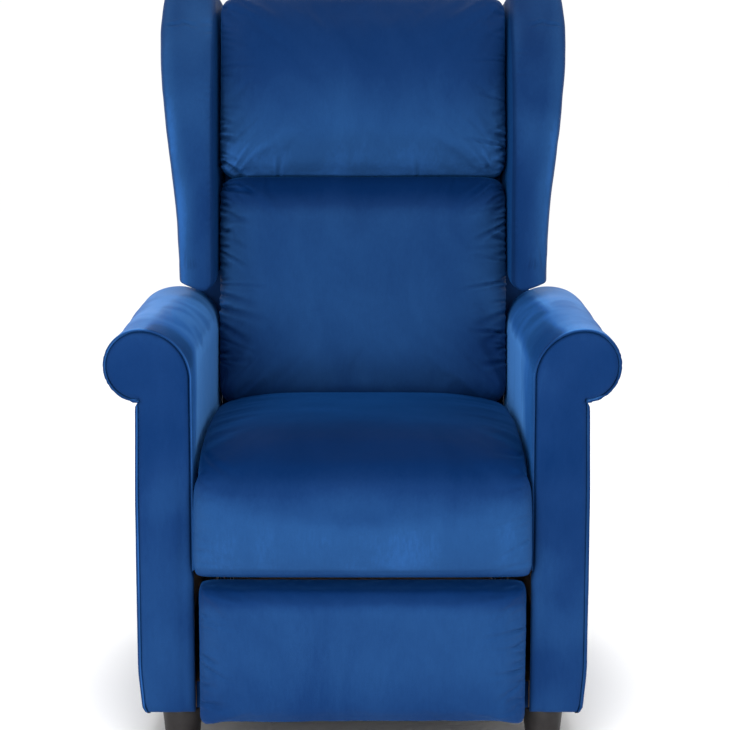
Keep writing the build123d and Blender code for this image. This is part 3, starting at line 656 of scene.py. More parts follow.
def arm_sections():
    """Inset and depth of each section of an arm: a lip at the front seam, then rounded ends."""
    edge, back_round = 0.0030, 0.012
    face, rear = ARM_FRONT + 0.0016, ARM_BACK - back_round
    lip = (0.0003, 0.0075), (0.0006, 0.0034), (0.0013, 0.0010)
    ends = [(SEAM_INSET - out, face + behind) for out, behind in lip]
    ends += [(edge * (1 - math.sin(t)), face + edge * (1 - math.cos(t))) for t in np.radians((0, 25, 50, 72))]
    ends += [(0.0, y) for y in np.linspace(face + edge, ARM_FRONT + 0.088, 20)]
    ends += [(0.0, y) for y in np.linspace(ARM_FRONT + 0.097, rear, 48)]
    turn = np.radians((22, 45, 68, 90))
    return ends + [(back_round * (1 - math.cos(t)), rear + back_round * math.sin(t)) for t in turn]


def arm_cover(side, sign):
    """Velvet over one arm, closed round the side frame."""
    gap, turn_in, hem = 0.0005, 0.004, 0.0562
    frame_in, frame_out, frame_top = PAD_HIGH.x - gap, COVER_LOW.x + gap, PAD_HIGH.z + gap
    inner_run = np.linspace(ROLL_Z - 0.03, PAD_LOW.z + turn_in, 36)
    hidden = [
        (PAD_LOW.x + 0.0075, PAD_LOW.z),
        (frame_in - turn_in, PAD_LOW.z),
        (frame_in, PAD_LOW.z + turn_in),
        (frame_in, frame_top),
        (frame_out, frame_top),
        (frame_out, 0.060),
        (frame_out + turn_in, hem),
        (COVER_HIGH.x - 0.0075, hem),
    ]
    rows = []
    for inset, y in arm_sections():
        back = (y - ARM_FRONT) / (ARM_BACK - ARM_FRONT)
        swept = float(ease(back, 0.25, 0.95))
        line = scroll_outline(inset, 0.0125 * swept - 0.0034 * hump(back, 0.16, 0.10), 0.0050 * swept)
        line += [(PAD_LOW.x + inset, z) for z in inner_run] + hidden
        rows.append([(sign * x, y, z) for x, z in line])
    rows = np.array(rows)
    shown = np.ones(rows.shape[1])
    shown[-len(hidden) :] = 0.0
    shown = np.tile(shown, len(rows))
    piece = loft(f"{side}_arm_cover", rows, concave=True)
    points, normals = read_points(piece)
    across = np.abs(points[:, 0])
    run = np.clip((points[:, 1] - ARM_FRONT) / (ARM_BACK - ARM_FRONT), 0, 1)
    rise = np.clip((points[:, 2] - COVER_FOOT) / (ROLL_Z - 0.06 - COVER_FOOT), 0, 1)
    outside = ease(across, 0.30, 0.315) * (points[:, 2] < ROLL_Z - ROLL_RADIUS - 0.002)
    bulge = 0.0032 * outside * np.sin(np.pi * rise) ** 0.7 * np.sin(np.pi * run) ** 0.6
    loose = 0.0009 * waves(points, 0.090, 1 + sign) + 0.0003 * waves(points, 0.03, 4 + sign)
    inside = ease(0.245 - across, 0.0, 0.006)
    back_from_seam = ease(points[:, 1], ARM_FRONT + 0.004, ARM_FRONT + 0.03)
    move = bulge + loose * (0.35 + 0.65 * back_from_seam) * (1 - 0.6 * inside) - 0.0008 * inside
    # Gathers where the velvet is eased round the scroll into the front seam
    angle = np.arctan2(points[:, 2] - ROLL_Z, across - ROLL_X)
    pick = random.Random(11 + sign)
    tucks = []
    for _ in range(16):
        girth = pick.choice((pick.uniform(-0.080, -0.045), pick.uniform(-0.045, 0.09)))
        slant = 90 + pick.uniform(-16, 16)
        deep = pick.uniform(0.0005, 0.0009) * (1.4 if girth < -0.045 else 0.8)
        tucks.append((girth, ARM_FRONT + 0.004, slant, pick.uniform(0.016, 0.050), 0.0034, deep))
    on_scroll = (across > ROLL_X - 0.03) * (points[:, 2] > ROLL_Z - 0.056)
    move += on_scroll * crease_field(angle * ROLL_RADIUS, points[:, 1], tucks)
    write_points(piece, points + normals * (shown * move)[:, None])
    # Painted highlight on the crown, stronger towards the rear, and painted light and shade on the inside, with
    # random brush marks in the pile: broad on the crown, upright on the inside
    stroked = patchy(points, (1.0, 0.45, 1.0), 0.055, 14 + sign)
    combed = patchy(points, (1.0, 1.0, 0.35), 0.040, 17 + sign)
    inward = ease(-sign * normals[:, 0] + 0.06 * stroked, 0.20 + 0.14 * sign, 0.42 + 0.14 * sign)
    crown = 1.10 + 0.10 * stroked + 0.22 * ease(run, 0.30, 0.80)
    crown *= ease(normals[:, 2], 0.2, 0.95) * (1 - inward)
    # Painted light on the inside: lighter towards the rear, dark at the far end, darker on the right arm and where
    # the face turns up
    depth = 0.57 - 0.09 * sign + 0.74 * ease(run, 0.05 + 0.03 * sign, 0.28 + 0.08 * sign)
    depth += 0.30 * ease(run, 0.30, 0.85) - 0.90 * ease(run, 0.90, 0.97)
    depth -= (0.60 + 0.10 * sign) * ease(normals[:, 2], 0.05, 0.48)
    paint_pile_and_light(piece, crown + (depth + 0.10 * combed) * inward)
    upholster(piece, "base", 0.85, f"{side}_inner_arm_pad", f"{side}_arm_roll", f"{side}_outer_arm_cover")


def front_panel(side, sign):
    """Scroll panel on the front of one arm, set into the seam just inside the edge of the cover."""
    bend, spacing, board = 0.0032, 0.0045, 0.0165
    inner = PAD_LOW.x + SEAM_INSET
    outline = scroll_outline(SEAM_INSET)[::2]
    outline[0] = (outline[0][0], PANEL_FOOT)
    outline += [(inner, 0.45), (inner, 0.275), (PANEL_LOW.x, 0.255), (PANEL_LOW.x, PANEL_FOOT)]
    outline = [(sign * x, z) for x, z in outline]

    def lift(away, a, b):
        soft = 0.0080 * ease(PANEL_LOW.x + 0.020 - np.abs(a), 0.0, 0.006) * ease(0.262 - b, 0.0, 0.012)
        edge = np.sqrt(1 - (1 - np.clip(away / (bend + soft), 0, 1)) ** 2)
        slack = flat_waves(a, b, 0.06, 6 + sign)
        fold = 0.0016 * hump(np.abs(a), inner + 0.012, 0.004) * ease(b, 0.50, 0.30)
        return -0.0066 + 0.0062 * edge + edge * (0.0014 * np.clip(away / 0.03, 0, 1) + 0.0007 * slack - fold)

    def place(a, b, height):
        return np.stack([a, ARM_FRONT - height, b], axis=-1)

    piece = padded_panel(f"{side}_arm_front", outline, lift, place, board, spacing, (0.0009, 0.0022))
    points, _ = read_points(piece)
    # Painted light and shade: lighter low on the post, a painted dark band just below the scroll, the right panel
    # darker; random patches on top
    tone = 0.15 * ease(points[:, 2], 0.41, 0.27) - 0.10 * hump(points[:, 2], 0.455, 0.05)
    paint_pile_and_light(piece, tone + 0.10 * patchy(points, 1.0, 0.07, 8 + sign, 3) - 0.03 * (1 + sign))
    upholster(piece, "base", 0.8, f"{side}_arm_front_panel")


def closing_strips(side, sign):
    """Velvet that closes the back edge of the side frame and the front end of the base rail."""
    gap, proud, spacing, edge = 0.0004, 0.0002, 0.005, 0.003
    frame_low, frame_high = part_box("right_side_frame")
    board_low, board_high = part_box("right_base_rail")
    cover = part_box("rear_lower_cover")[1]
    inner, outer, top = frame_low.x, frame_high.x + gap, frame_high.z
    strip = [(cover.x + gap, PANEL_FOOT), (outer, PANEL_FOOT), (outer, top), (inner, top)]
    strip += [(inner, cover.z + gap), (cover.x + gap, cover.z + gap)]
    end = block((board_low.x + gap, board_low.z + gap), (PANEL_LOW.x - gap, board_high.z - gap))
    for name, outline, start, facing, thick in (
        (f"{side}_arm_back_strip", strip, frame_high.y + proud, 1, 0.0090),
        (f"{side}_rail_end_cap", end, board_low.y - proud, -1, 0.0030),
    ):
        piece = padded_panel(
            name,
            [(sign * x, z) for x, z in outline],
            lambda away, a, b: thick * (0.55 + 0.45 * np.sqrt(1 - (1 - np.clip(away / edge, 0, 1)) ** 2)),
            lambda a, b, height: np.stack([a, start + facing * height, b], axis=-1),
            0.0,
            spacing,
            (0.0012,),
        )
        upholster(piece, "base", 0.9)


for side, sign in SIDES:
    arm_cover(side, sign)
    front_panel(side, sign)
    closing_strips(side, sign)


# Wings: sections up the back with a broad front face, a horizontal foot and a rounded head
def wing_rows(sign):
    """Sections of one wing, with a tongue at its foot and a peak at its outer top."""
    foot_round, head_round = 0.005, 0.010
    turn = np.radians((0, 18, 36, 54, 72))
    tall = WING_TOP - WING_FOOT
    levels = [(foot_round * (1 - math.cos(t)), foot_round * (1 - math.sin(t))) for t in turn]
    levels += [(rise, 0.0) for rise in np.linspace(foot_round, tall - head_round, 92)]
    levels += [(tall - head_round * (1 - math.cos(t)), head_round * (1 - math.sin(t))) for t in turn[::-1]]
    rows = []
    for rise, inset in levels:
        height = WING_FOOT + rise
        front, reach, thick, rear = (float(wing_size(column, height)) for column in (1, 2, 3, 4))
        corners = [
            (WING_INNER, PAD_REACH),
            (rear, PAD_REACH),
            (front, reach - 0.004),
            (front - thick, reach - 0.004),
            (WING_INNER + 0.0035, 0.044),
        ]
        loop = rounded_loop(corners, (0.004, 0.015, 0.018, 0.015, 0.03), 9, 9)
        loop = loop - loop_normals(loop) * inset
        lower, upper = 1 - rise / tall, rise / tall
        across, forward = loop[:, 0], loop[:, 1]
        slope = -forward * math.tan(BACK_LEAN) * lower
        tongue = (1 - 0.66 * ease(across, 0.256, 0.300)) * (1 - 0.45 * ease(0.256 - across, 0.0, 0.016))
        tongue = -0.017 * tongue * ease(forward, 0.05, 0.13) * lower**3
        peak = 0.014 * ease(across, 0.245, 0.300) * upper**8
        rows.append(on_back(sign * across, height + slope + tongue + peak, forward))
    return rows


def wing(side, sign):
    """One padded wing with its folds."""
    piece = loft(f"{side}_wing", wing_rows(sign))
    subdivide(piece)
    points, normals = read_points(piece)
    across, height, reach = off_back(points)
    across = sign * across
    front = ease(-normals[:, 1], 0.35, 0.8)
    outward = ease(sign * normals[:, 0], 0.35, 0.85)
    up = (height - WING_FOOT) / (WING_TOP - WING_FOOT)
    bulge = 0.0035 * outward * np.sin(np.pi * np.clip(up, 0, 1)) ** 0.7 + 0.002 * front
    loose = 0.0011 * waves(points, 0.085, 20 + sign) + 0.0005 * waves(points, 0.028, 23 + sign)
    pick = random.Random(31 + sign)
    folds = [
        (0.318, 0.731, 172, 0.030, 0.0036, 0.0040),
        (0.293, 0.735, 202, 0.024, 0.0036, 0.0034),
        (0.289, WING_FOOT - 0.010, 97, 0.085, 0.0045, 0.0026),
        (0.279, WING_FOOT - 0.014, 88, 0.055, 0.0036, 0.0020),
        (0.270, WING_FOOT - 0.014, 78, 0.045, 0.0034, 0.0016),
    ]
    for _ in range(14):
        rise, slant = WING_FOOT + pick.uniform(0.03, 0.40), pick.uniform(-35, 35)
        folds.append((0.247, rise, slant, pick.uniform(0.015, 0.035), 0.004, pick.uniform(0.0005, 0.0012)))
    seam = -0.0016 * hump(reach, -0.004, 0.0022) * outward
    move = bulge + loose + front * crease_field(across, height, folds) + seam
    inner_face = ease(-sign * normals[:, 0], 0.5, 0.9)
    write_points(piece, points + normals * (move * (1 - 0.9 * inner_face))[:, None])
    # Painted light and shade on the front face: a painted highlight along the outer edge, lighter low down,
    # painted shade towards the inner edge low down, a painted highlight on the inner edge higher up, the right
    # wing darker, faces that turn up lighter; random patches on top
    rim = ease(across - np.interp(height, WING_STATIONS[:, 0], WING_STATIONS[:, 1]), -0.030, -0.004)
    inner_shade_mask = ease(0.290 - across, 0.0, 0.040)
    tone = 0.06 - 0.04 * sign + 0.34 * rim + (0.16 - 0.05 * sign) * ease(0.75 - up, 0.0, 0.3)
    tone -= 0.30 * inner_shade_mask * ease(0.46 - up, 0.0, 0.3)
    tone += 0.16 * ease(0.264 - across, 0.0, 0.02) * ease(up, 0.5, 0.7)
    tone += 0.10 * patchy(points, (1.0, 1.0, 0.5), 0.055, 26 + sign, 3)
    paint_pile_and_light(piece, tone * front + 0.3 * ease(normals[:, 2], 0.4, 0.9))
    upholster(piece, "back", 0.85, f"{side}_wing_pad")


for side, sign in SIDES:
    wing(side, sign)


# Cushions: each starts a little small, swells as cloth, then takes its seam and gathers
def gather_list(seed, half, spans, strength):
    """Creases that run in from the side seams; each span is (side, low, high, count)."""
    pick = random.Random(seed)
    creases = []
    for side, low, high, count in spans:
        for number in range(count):
            along = low + (high - low) * (number + pick.uniform(-0.3, 1.3)) / count
            lean = pick.uniform(-0.62, 0.16)
            slant = math.degrees(lean if side < 0 else math.pi - lean)
            length = pick.uniform(0.014, 0.030) if number % 3 else pick.uniform(0.042, 0.082)
            width = pick.uniform(0.0026, 0.0052)
            deep = strength * pick.uniform(0.35, 1.3)
            creases.append((side * (half - 0.006), along, slant, length, width, deep))
    return creases


def back_cushion(name, node, low, high, depth, seed, gathers, tone):
    """A pillow on the back between two heights, sewn round its rim, with gathers at its side seams."""
    half, droop = CUSHION_HALF, 0.10
    middle, tall = (low + high) / 2, (high - low) / 2
    seam_reach = CUSHION_REACH + depth * 0.60
    piece = soft_box(name, (half, tall, depth / 2), 16.0, 6.0)
    points, _ = read_points(piece)
    across, rise, reach = points.T
    across = across * (1 - 0.004 * (1 - (rise / tall) ** 2))
    forward = ease(reach, 0, depth / 2)
    crown = 1 - forward * (0.08 * np.abs(rise / tall) ** 3 + droop * rise / tall)
    write_points(piece, on_back(across, middle + rise, CUSHION_REACH + depth / 2 + reach * crown))

    def held(rest):
        x, w, u = off_back(rest)
        backed = ease(CUSHION_REACH + 0.018 - u, 0.0, 0.012)
        ends = ease(np.abs(w - middle), tall - 0.008, tall - 0.002)
        rim = np.maximum(ease(np.abs(x), half - 0.012, half - 0.004), ends)
        return np.clip(backed + rim * hump(u, seam_reach, 0.010), 0, 1)

    inflate(piece, held, 0.018)
    points, _ = read_points(piece)
    x, w, u = off_back(points)
    room = 0.2364 + 0.0008 * ease(u, 0.03, 0.045) + 0.0024 * ease(w, 0.300, 0.322) * ease(u, 0.030, 0.05)
    x = np.sign(x) * soft_limit(np.abs(x), room, 0.002)
    w = middle + np.sign(w - middle) * soft_limit(np.abs(w - middle), tall - 0.0002, 0.0015)
    u = np.maximum(u, CUSHION_REACH)
    write_points(piece, on_back(x, w, u))
    points, normals = read_points(piece)
    face = ease(-normals[:, 1], -0.15, 0.30)
    sideways = ease(np.abs(normals[:, 0]), 0.75, 0.97)
    edges = np.maximum(sideways, ease(np.abs(normals[:, 2]), 0.8, 0.97))
    gathered = face * crease_field(x, w, gathers)
    move = gathered - 0.0024 * hump(u, seam_reach, 0.0028) * edges
    move += face * (0.0016 * waves(points, 0.11, seed) + 0.0005 * waves(points, 0.045, seed + 3))
    write_points(piece, points + normals * move[:, None])
    # Painted light and shade: the tone by height and side, and the gathers painted lighter on their ridges and
    # darker in their hollows
    share = np.clip((w - low) / (high - low), 0, 1)
    paint_pile_and_light(piece, tone(share, np.abs(x) / half) * face + 55 * gathered)
    upholster(piece, "back", 0.75, node)


def lumbar_painted_shade(share, aside):
    """Painted light and shade on the lumbar pillow: painted shadow under the head cushion and at the foot, painted
    light at the upper sides.
    """
    tone = 0.20 - 0.66 * ease(share, 0.80, 0.96) - 0.30 * ease(share, 0.12, 0.0)
    tone += 0.12 * hump(share, 0.40, 0.2) * (1 - aside)
    tone += 0.20 * ease(aside, 0.6, 0.95) * ease(share, 0.25, 0.45)
    return tone - 0.12 * ease(aside, 0.4, 0.8) * ease(share, 0.42, 0.28)


def head_painted_light(share, aside):
    """Painted light and shade on the head pillow: light at the foot, darker towards the top."""
    return 0.50 - 0.66 * ease(share, 0.0, 0.78) + 0.06 * ease(aside, 0.6, 0.95)


GATHER_HALF = 0.2370
LUMBAR_SPANS = (-1, 0.35, 0.475, 15), (1, 0.34, 0.475, 15), (-1, 0.15, 0.35, 9), (1, 0.15, 0.34, 8)
LUMBAR_FOLDS = [
    (-0.232, 0.286, -22, 0.070, 0.006, 0.0046),
    (-0.232, 0.262, -16, 0.085, 0.006, 0.0050),
    (-0.232, 0.236, -34, 0.072, 0.006, 0.0044),
    (0.232, 0.255, 205, 0.066, 0.006, 0.0036),
    (0.232, 0.226, 212, 0.058, 0.006, 0.0034),
    (-0.205, 0.470, -40, 0.060, 0.005, 0.0028),
    (0.205, 0.470, 220, 0.060, 0.005, 0.0028),
    (-0.160, 0.478, -80, 0.035, 0.005, 0.0016),
    (0.150, 0.478, 255, 0.035, 0.005, 0.0016),
]
HEAD_LOW_SPANS = (-1, 0.49, 0.59, 9), (1, 0.49, 0.61, 10)
HEAD_HIGH_SPANS = (-1, 0.60, 0.77, 10), (1, 0.62, 0.77, 9)
HEAD_FOLDS = [
    (-0.140, 0.490, 80, 0.030, 0.005, 0.0026),
    (-0.205, 0.497, 52, 0.065, 0.005, 0.0026),
    (0.205, 0.497, 128, 0.060, 0.005, 0.0024),
    (0.090, 0.489, 95, 0.022, 0.005, 0.0014),
]
lumbar_gathers = gather_list(42, GATHER_HALF, LUMBAR_SPANS, 0.0052) + LUMBAR_FOLDS
head_gathers = gather_list(52, GATHER_HALF, HEAD_LOW_SPANS, 0.0042)
head_gathers += gather_list(57, GATHER_HALF, HEAD_HIGH_SPANS, 0.0016) + HEAD_FOLDS
back_cushion("lumbar_pillow", "lumbar_cushion", LUMBAR_FOOT, SPLIT, 0.110, 41, lumbar_gathers, lumbar_painted_shade)
back_cushion("head_pillow", "head_cushion", SPLIT + 0.0004, HEAD_TOP, 0.116, 51, head_gathers, head_painted_light)


def seat_section(nose, rear, step, base, floor):
    """Outline of the seat cushion seen from its side, from under the nose over the crown to the rail."""
    front = (
        (0.014, 0.0005),
        (0.004, 0.010),
        (0.0, 0.050),
        (0.001, 0.086),
        (0.006, 0.116),
        (0.017, 0.143),
        (0.038, 0.167),
        (0.072, 0.183),
        (0.130, 0.193),
        (0.200, 0.197),
        (0.270, 0.198),
    )
    section = [(step - 0.004, base + 0.0005)]
    section += [(nose + back, base + rise) for back, rise in front]
    section += [(rear - 0.090, base + 0.194), (rear - 0.010, base + 0.184), (rear, base + 0.158)]
    section += [(rear, floor + 0.012), (rear - 0.012, floor), ((rear + step) / 2, floor)]
    section += [(step + 0.006, floor), (step, floor - 0.008), (step, base + 0.006)]
    section = np.array(section)
    gaps = np.linalg.norm(np.roll(section, -1, axis=0) - section, axis=1)
    steps = np.maximum(1, np.round(gaps / 0.009)).astype(int)
    return np.array(
        [
            start + (end - start) * index / count
            for start, end, count in zip(section, np.roll(section, -1, axis=0), steps)
            for index in range(count)
        ]
    )


def seat_pillow():
    """Seat cushion: crowned top, waterfall nose over the front rail, drawn-in ends."""
    low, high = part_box("seat_cushion")
    nose, rear, base = low.y + 0.005, high.y - 0.001, low.z
    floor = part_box("seat_side_rails")[1].z + 0.0075
    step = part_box("seat_front_rail")[0].y - 0.0008
    half, end_round = high.x + 0.0005, 0.020
    loop = seat_section(nose, rear, step, base, floor)
    centre = np.array(((nose + rear) / 2, floor + 0.05))
    normals = loop_normals(loop)
    if ((loop - centre) * normals).sum() < 0:
        normals = -normals
    turn = np.radians((90, 70, 50, 30, 12))
    ends = [(half - end_round * (1 - math.sin(t)), end_round * (1 - math.cos(t))) for t in turn]
    stations = [(-x, inset) for x, inset in ends]
    stations += [(x, 0.0) for x in np.linspace(-half + 0.034, half - 0.034, 34)]
    stations += reversed(ends)
    above = ease(loop[:, 1], base + 0.02, floor + 0.03)
    rows = []
    for x, inset in stations:
        fall = abs(x / half) ** 5
        place = loop - normals * (np.minimum(inset, 0.008) * above)[:, None]
        y = place[:, 0] + 0.006 * fall * ease(-place[:, 0], -nose - 0.05, -nose)
        z = place[:, 1] - 0.007 * fall * ease(place[:, 1], floor + 0.02, floor + 0.1)
        rows.append(np.stack([np.full(len(loop), x), y, z], axis=-1))
    piece = loft("seat_pillow", rows, concave=True)

    def held(rest):
        under = ease(floor + 0.012 - rest[:, 2], 0.0, 0.008) * ease(rest[:, 1], step - 0.012, step - 0.004)
        rim = ease(base + 0.014 - rest[:, 2], 0.0, 0.008)
        sewn = ease(np.abs(rest[:, 0]), half - 0.008, half - 0.001) * 0.6
        return np.clip(under + rim + sewn, 0, 1)

    inflate(piece, held, 0.011, voxel=0.006, taut=16)
    points, _ = read_points(piece)
    x, y, z = points.T
    ahead = ease(ARM_FRONT + 0.002 - y, 0.0, 0.014)
    x = x + np.sign(x) * 0.006 * ahead * ease(np.abs(x), 0.15, 0.225)
    x = np.sign(x) * soft_limit(np.abs(x), 0.2362 + 0.0035 * ahead, 0.003)
    z = soft_limit(z, high.z + 0.004, 0.008)
    y = -soft_limit(-y, -low.y + 0.004, 0.008)
    y = soft_limit(y, high.y + 0.001, 0.004)
    z = np.where(y > step - 0.002, np.maximum(z, floor), np.maximum(z, base))
    write_points(piece, np.stack([x, y, z], axis=-1))
    points, normals = read_points(piece)
    face = ease(-normals[:, 1], -0.2, 0.5) * ease(points[:, 2], base, base + 0.02)
    top = ease(normals[:, 2], 0.0, 0.95)
    spans = [(side, base + 0.02, base + 0.17, 13) for side in (-1, 1)]
    move = face * crease_field(points[:, 0], points[:, 2], gather_list(61, half + 0.002, spans, 0.0018))
    move += (face + top) * (0.0020 * waves(points, 0.16, 63) + 0.0006 * waves(points, 0.06, 66))
    move -= 0.0016 * hump(points[:, 2], base + 0.011, 0.003) * face
    write_points(piece, points + normals * move[:, None])
    # Painted shade on the top, darkest towards the rear, and painted light on the nose, lighter towards its foot
    far = ease(points[:, 1], nose + 0.05, nose + 0.22)
    drift = 0.016 * waves(points * (1.0, 0.0, 0.0), 0.09, 68)
    light = ease(points[:, 2] + drift, base + 0.178, base + 0.085)
    paint_pile_and_light(piece, -(0.60 + 0.40 * far) * top + 0.45 * face * light)
    upholster(piece, "seat", 0.75, "seat_cushion")


seat_pillow()


def footrest_pillow():
    """Padded footrest panel with gathers at its ends."""
    low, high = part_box("footrest_cushion")
    middle = (low + high) / 2
    half = (high - low) / 2
    slack = 0.002
    piece = soft_box("footrest_pillow", (half.x + slack, half.z, half.y - slack), 40.0, 8.0)
    points, _ = read_points(piece)
    points = points[:, (0, 2, 1)]
    points[:, 1] += slack
    write_points(piece, points + np.array(middle))
    piece.data.flip_normals()

    def held(rest):
        backed = ease(rest[:, 1], high.y - 0.016, high.y - 0.005)
        sewn = ease(np.abs(rest[:, 0]), half.x - 0.008, half.x - 0.001)
        return np.clip(backed + sewn * hump(rest[:, 1], middle.y, 0.010), 0, 1)

    inflate(piece, held, 0.008)
    points, _ = read_points(piece)
    x, y, z = points.T
    x = np.sign(x) * soft_limit(np.abs(x), half.x + 0.0040, 0.003)
    z = middle.z + np.sign(z - middle.z) * soft_limit(np.abs(z - middle.z), half.z + 0.0025, 0.003)
    y = np.minimum(-soft_limit(-y, -low.y + 0.003, 0.006), high.y)
    write_points(piece, np.stack([x, y, z], axis=-1))
    points, normals = read_points(piece)
    face = ease(-normals[:, 1], -0.1, 0.4)
    spans = ((-1, low.z + 0.03, high.z - 0.03, 8), (1, low.z + 0.02, high.z - 0.02, 16))
    move = face * crease_field(points[:, 0], points[:, 2], gather_list(71, half.x, spans, 0.0034))
    move += face * (0.0016 * waves(points, 0.12, 73) + 0.0006 * waves(points, 0.05, 76))
    write_points(piece, points + normals * move[:, None])
    # Painted shade: a painted shadow along the top edge under the seat, and darker towards the foot
    share = (points[:, 2] - low.z) / (high.z - low.z)
    paint_pile_and_light(piece, face * (0.24 - 0.66 * ease(share, 0.80, 1.0) - 0.20 * ease(share, 0.50, 0.05)))
    upholster(piece, "footrest", 0.8, "footrest_cushion")


footrest_pillow()


# Outer back: one padded panel, with the top and side pads that close the back's frame
def outer_back():
    """The outer back: straight between the arms, flaring at a shoulder to the width of the wings."""
    half_low, shoulder = 0.2325, WING_FOOT + 0.0066
    heights = np.linspace(shoulder + 0.004, BACK_TOP - 0.004, 14)
    wide = wing_size(4, heights) - 0.001
    right = [(half_low, -0.010), (half_low, 0.218), (half_low + 0.015, 0.229)]
    right += [(0.276, 0.262), (wide[0], 0.290)]
    right += list(zip(wide, heights))
    right += [(wide[-1] - 0.006, BACK_TOP - 0.0005)]
    outline = right + [(-x, w) for x, w in reversed(right)]

    def lift(away, a, b):
        edge = 1 - np.clip(1 - away / 0.022, 0, 1) ** 2.2
        slack = 0.0018 * flat_waves(a, b, 0.16, 81) + 0.0005 * flat_waves(a, b, 0.05, 83)
        return 0.007 + 0.013 * edge + 0.004 * np.clip(away / 0.16, 0, 1) + slack * edge

    def place(a, b, height):
        return on_back(a, b, OUTER_BACK_REACH - height)

    piece = padded_panel("outer_back", outline, lift, place, 0.0, 0.008)
    upholster(piece, "back", 0.7, "rear_cover")


def top_roll():
    """The padding over the back's top rail."""
    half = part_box("back_top_pad")[1].x - 0.0006
    base, crest = BACK_TOP - 0.0195, BACK_TOP + 0.002
    loop = rounded_loop(block((-0.0145, base), (0.0165, crest)), (0.002, 0.002, 0.011, 0.011), 7, 5)
    rows = []
    for x in np.linspace(-half, half, 40):
        sag = 0.0014 * math.sin(9 * x) - 0.002 * (x / half) ** 6
        rise = loop[:, 1] + np.where(loop[:, 1] > base + 0.012, sag, 0.0)
        rows.append(on_back(x, rise, loop[:, 0]))
    pad = loft("back_top_roll", rows)
    subdivide(pad)
    upholster(pad, "back", 0.85, "back_top_pad")


def side_roll(name, sign):
    """The pad beside one lower stile, from the foot of the back up to the wing."""
    inner, outer, front = 0.2077, 0.2380, 0.0168
    start, end = 0.0453, WING_FOOT + 0.0122
    loop = rounded_loop(block((inner, PAD_REACH), (outer, front)), (0.002, 0.008, 0.008, 0.002), 6, 4)
    rows = []
    for w in np.linspace(start, end, 40):
        pull = 0.0003 + 0.0003 * math.sin(55 * w)
        rows.append(on_back(sign * (loop[:, 0] - np.where(loop[:, 0] > 0.225, pull, 0.0)), w, loop[:, 1]))
    pad = loft(name, rows)
    subdivide(pad)
    upholster(pad, "back", 0.85, "back_side_pads")


outer_back()
top_roll()
for index, (_, sign) in enumerate(SIDES):
    side_roll(f"back_side_roll_{index}", sign)


def lower_back_cover():
    """Velvet-covered board that closes the base between the arms at the back."""
    low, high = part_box("rear_lower_cover")
    outline = block((low.x, low.z), (high.x, high.z))

    def lift(away, a, b):
        edge = 1 - np.clip(1 - away / 0.012, 0, 1) ** 2.2
        return 0.0035 + 0.0065 * edge + 0.0008 * flat_waves(a, b, 0.10, 91) * edge

    def place(a, b, height):
        return np.stack([a, low.y + 0.0003 + height, b], axis=-1)

    piece = padded_panel("lower_back_panel", outline, lift, place, 0.0, 0.007)
    upholster(piece, "base", 0.9, "rear_lower_cover")


lower_back_cover()


# Feet and webbing
def turned_foot(node):
    """A moulded foot: flared top, slim waist, rounded glide."""
    low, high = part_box(node)
    middle = (low + high) / 2
    radius = (high.x - low.x) / 2 + 0.0022
    tall = high.z - low.z
    steps = 40
    # Share of the radius and height, up the glide and then up the leg
    glide = (0.0, 0.0), (0.55, 0.0), (0.72, 0.0008), (0.80, 0.0030), (0.835, 0.0065), (0.84, 0.0085)
    groove = (0.815, 0.0098), (0.86, 0.0112), (0.88, 0.016)
    leg = (0.93, 0.55), (0.975, 0.80), (0.995, 0.90), (0.995, 0.955), (0.97, 0.99), (0.90, 1.0), (0.0, 1.0)
    profile = [*glide, *groove, *((share, up * tall) for share, up in leg)]
    rings = [ring(share * radius, low.z + rise, steps) for share, rise in profile]
    points = np.vstack(rings) + (middle.x, middle.y, 0.0)
    faces = ring_faces(len(profile), steps)
    piece = make_object(node + "_turned", points, faces, "foot_plastic", merge=True)
    subdivide(piece)
    dress(piece, "base", "foot_plastic", node)


for end in ("front", "rear"):
    for side, _ in SIDES:
        turned_foot(f"{side}_{end}_foot")


def webbing_straps():
    """Elastic straps across the back frame, each bowed a little by the cushions."""
    low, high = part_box("back_webbing")
    columns, lanes = 34, 6
    half_width, thick, bow_depth, bow_half = 0.031, 0.0016, 0.0022, 0.17
    across, lane = np.meshgrid(
        np.linspace(low.x, high.x, columns), np.linspace(-half_width, half_width, lanes), indexing="ij"
    )
    reach = WEBBING_REACH - bow_depth * (1 - (across / high.x) ** 2) * (np.abs(across) < bow_half)
    points, faces = [], []
    for height in np.linspace(0.168, 0.706, 6):
        base = len(points) * across.size
        points += [on_back(across, height + lane, reach + layer).reshape(-1, 3) for layer in (0.0, thick)]
        faces += [tuple(base + index for index in face) for face in slab_faces(columns, lanes)]
    piece = make_object("back_straps", np.vstack(points), faces, "webbing")
    dress(piece, "back", "webbing", "back_webbing")


webbing_straps()


# Linings: velvet over the rails that the cushions leave bare
def thin_sheet(name, grid, thick):
    """A closed thin sheet: grid of points, thickened along its own normals."""
    normal = np.cross(np.gradient(grid, axis=1), np.gradient(grid, axis=0))
    normal /= np.linalg.norm(normal, axis=2)[:, :, None]
    points = np.vstack([grid.reshape(-1, 3), (grid + normal * thick).reshape(-1, 3)])
    return make_object(name, points, slab_faces(*grid.shape[:2]))


def back_lining():
    """The lining behind the back cushions."""
    half, low, high = 0.2335, 0.104, 0.766
    across, height = np.meshgrid(np.linspace(half, -half, 40), np.linspace(low, high, 52))
    piece = thin_sheet("inside_back_lining", on_back(across, height, LINING_REACH), 0.0006)
    dress(piece, "back", "velvet")


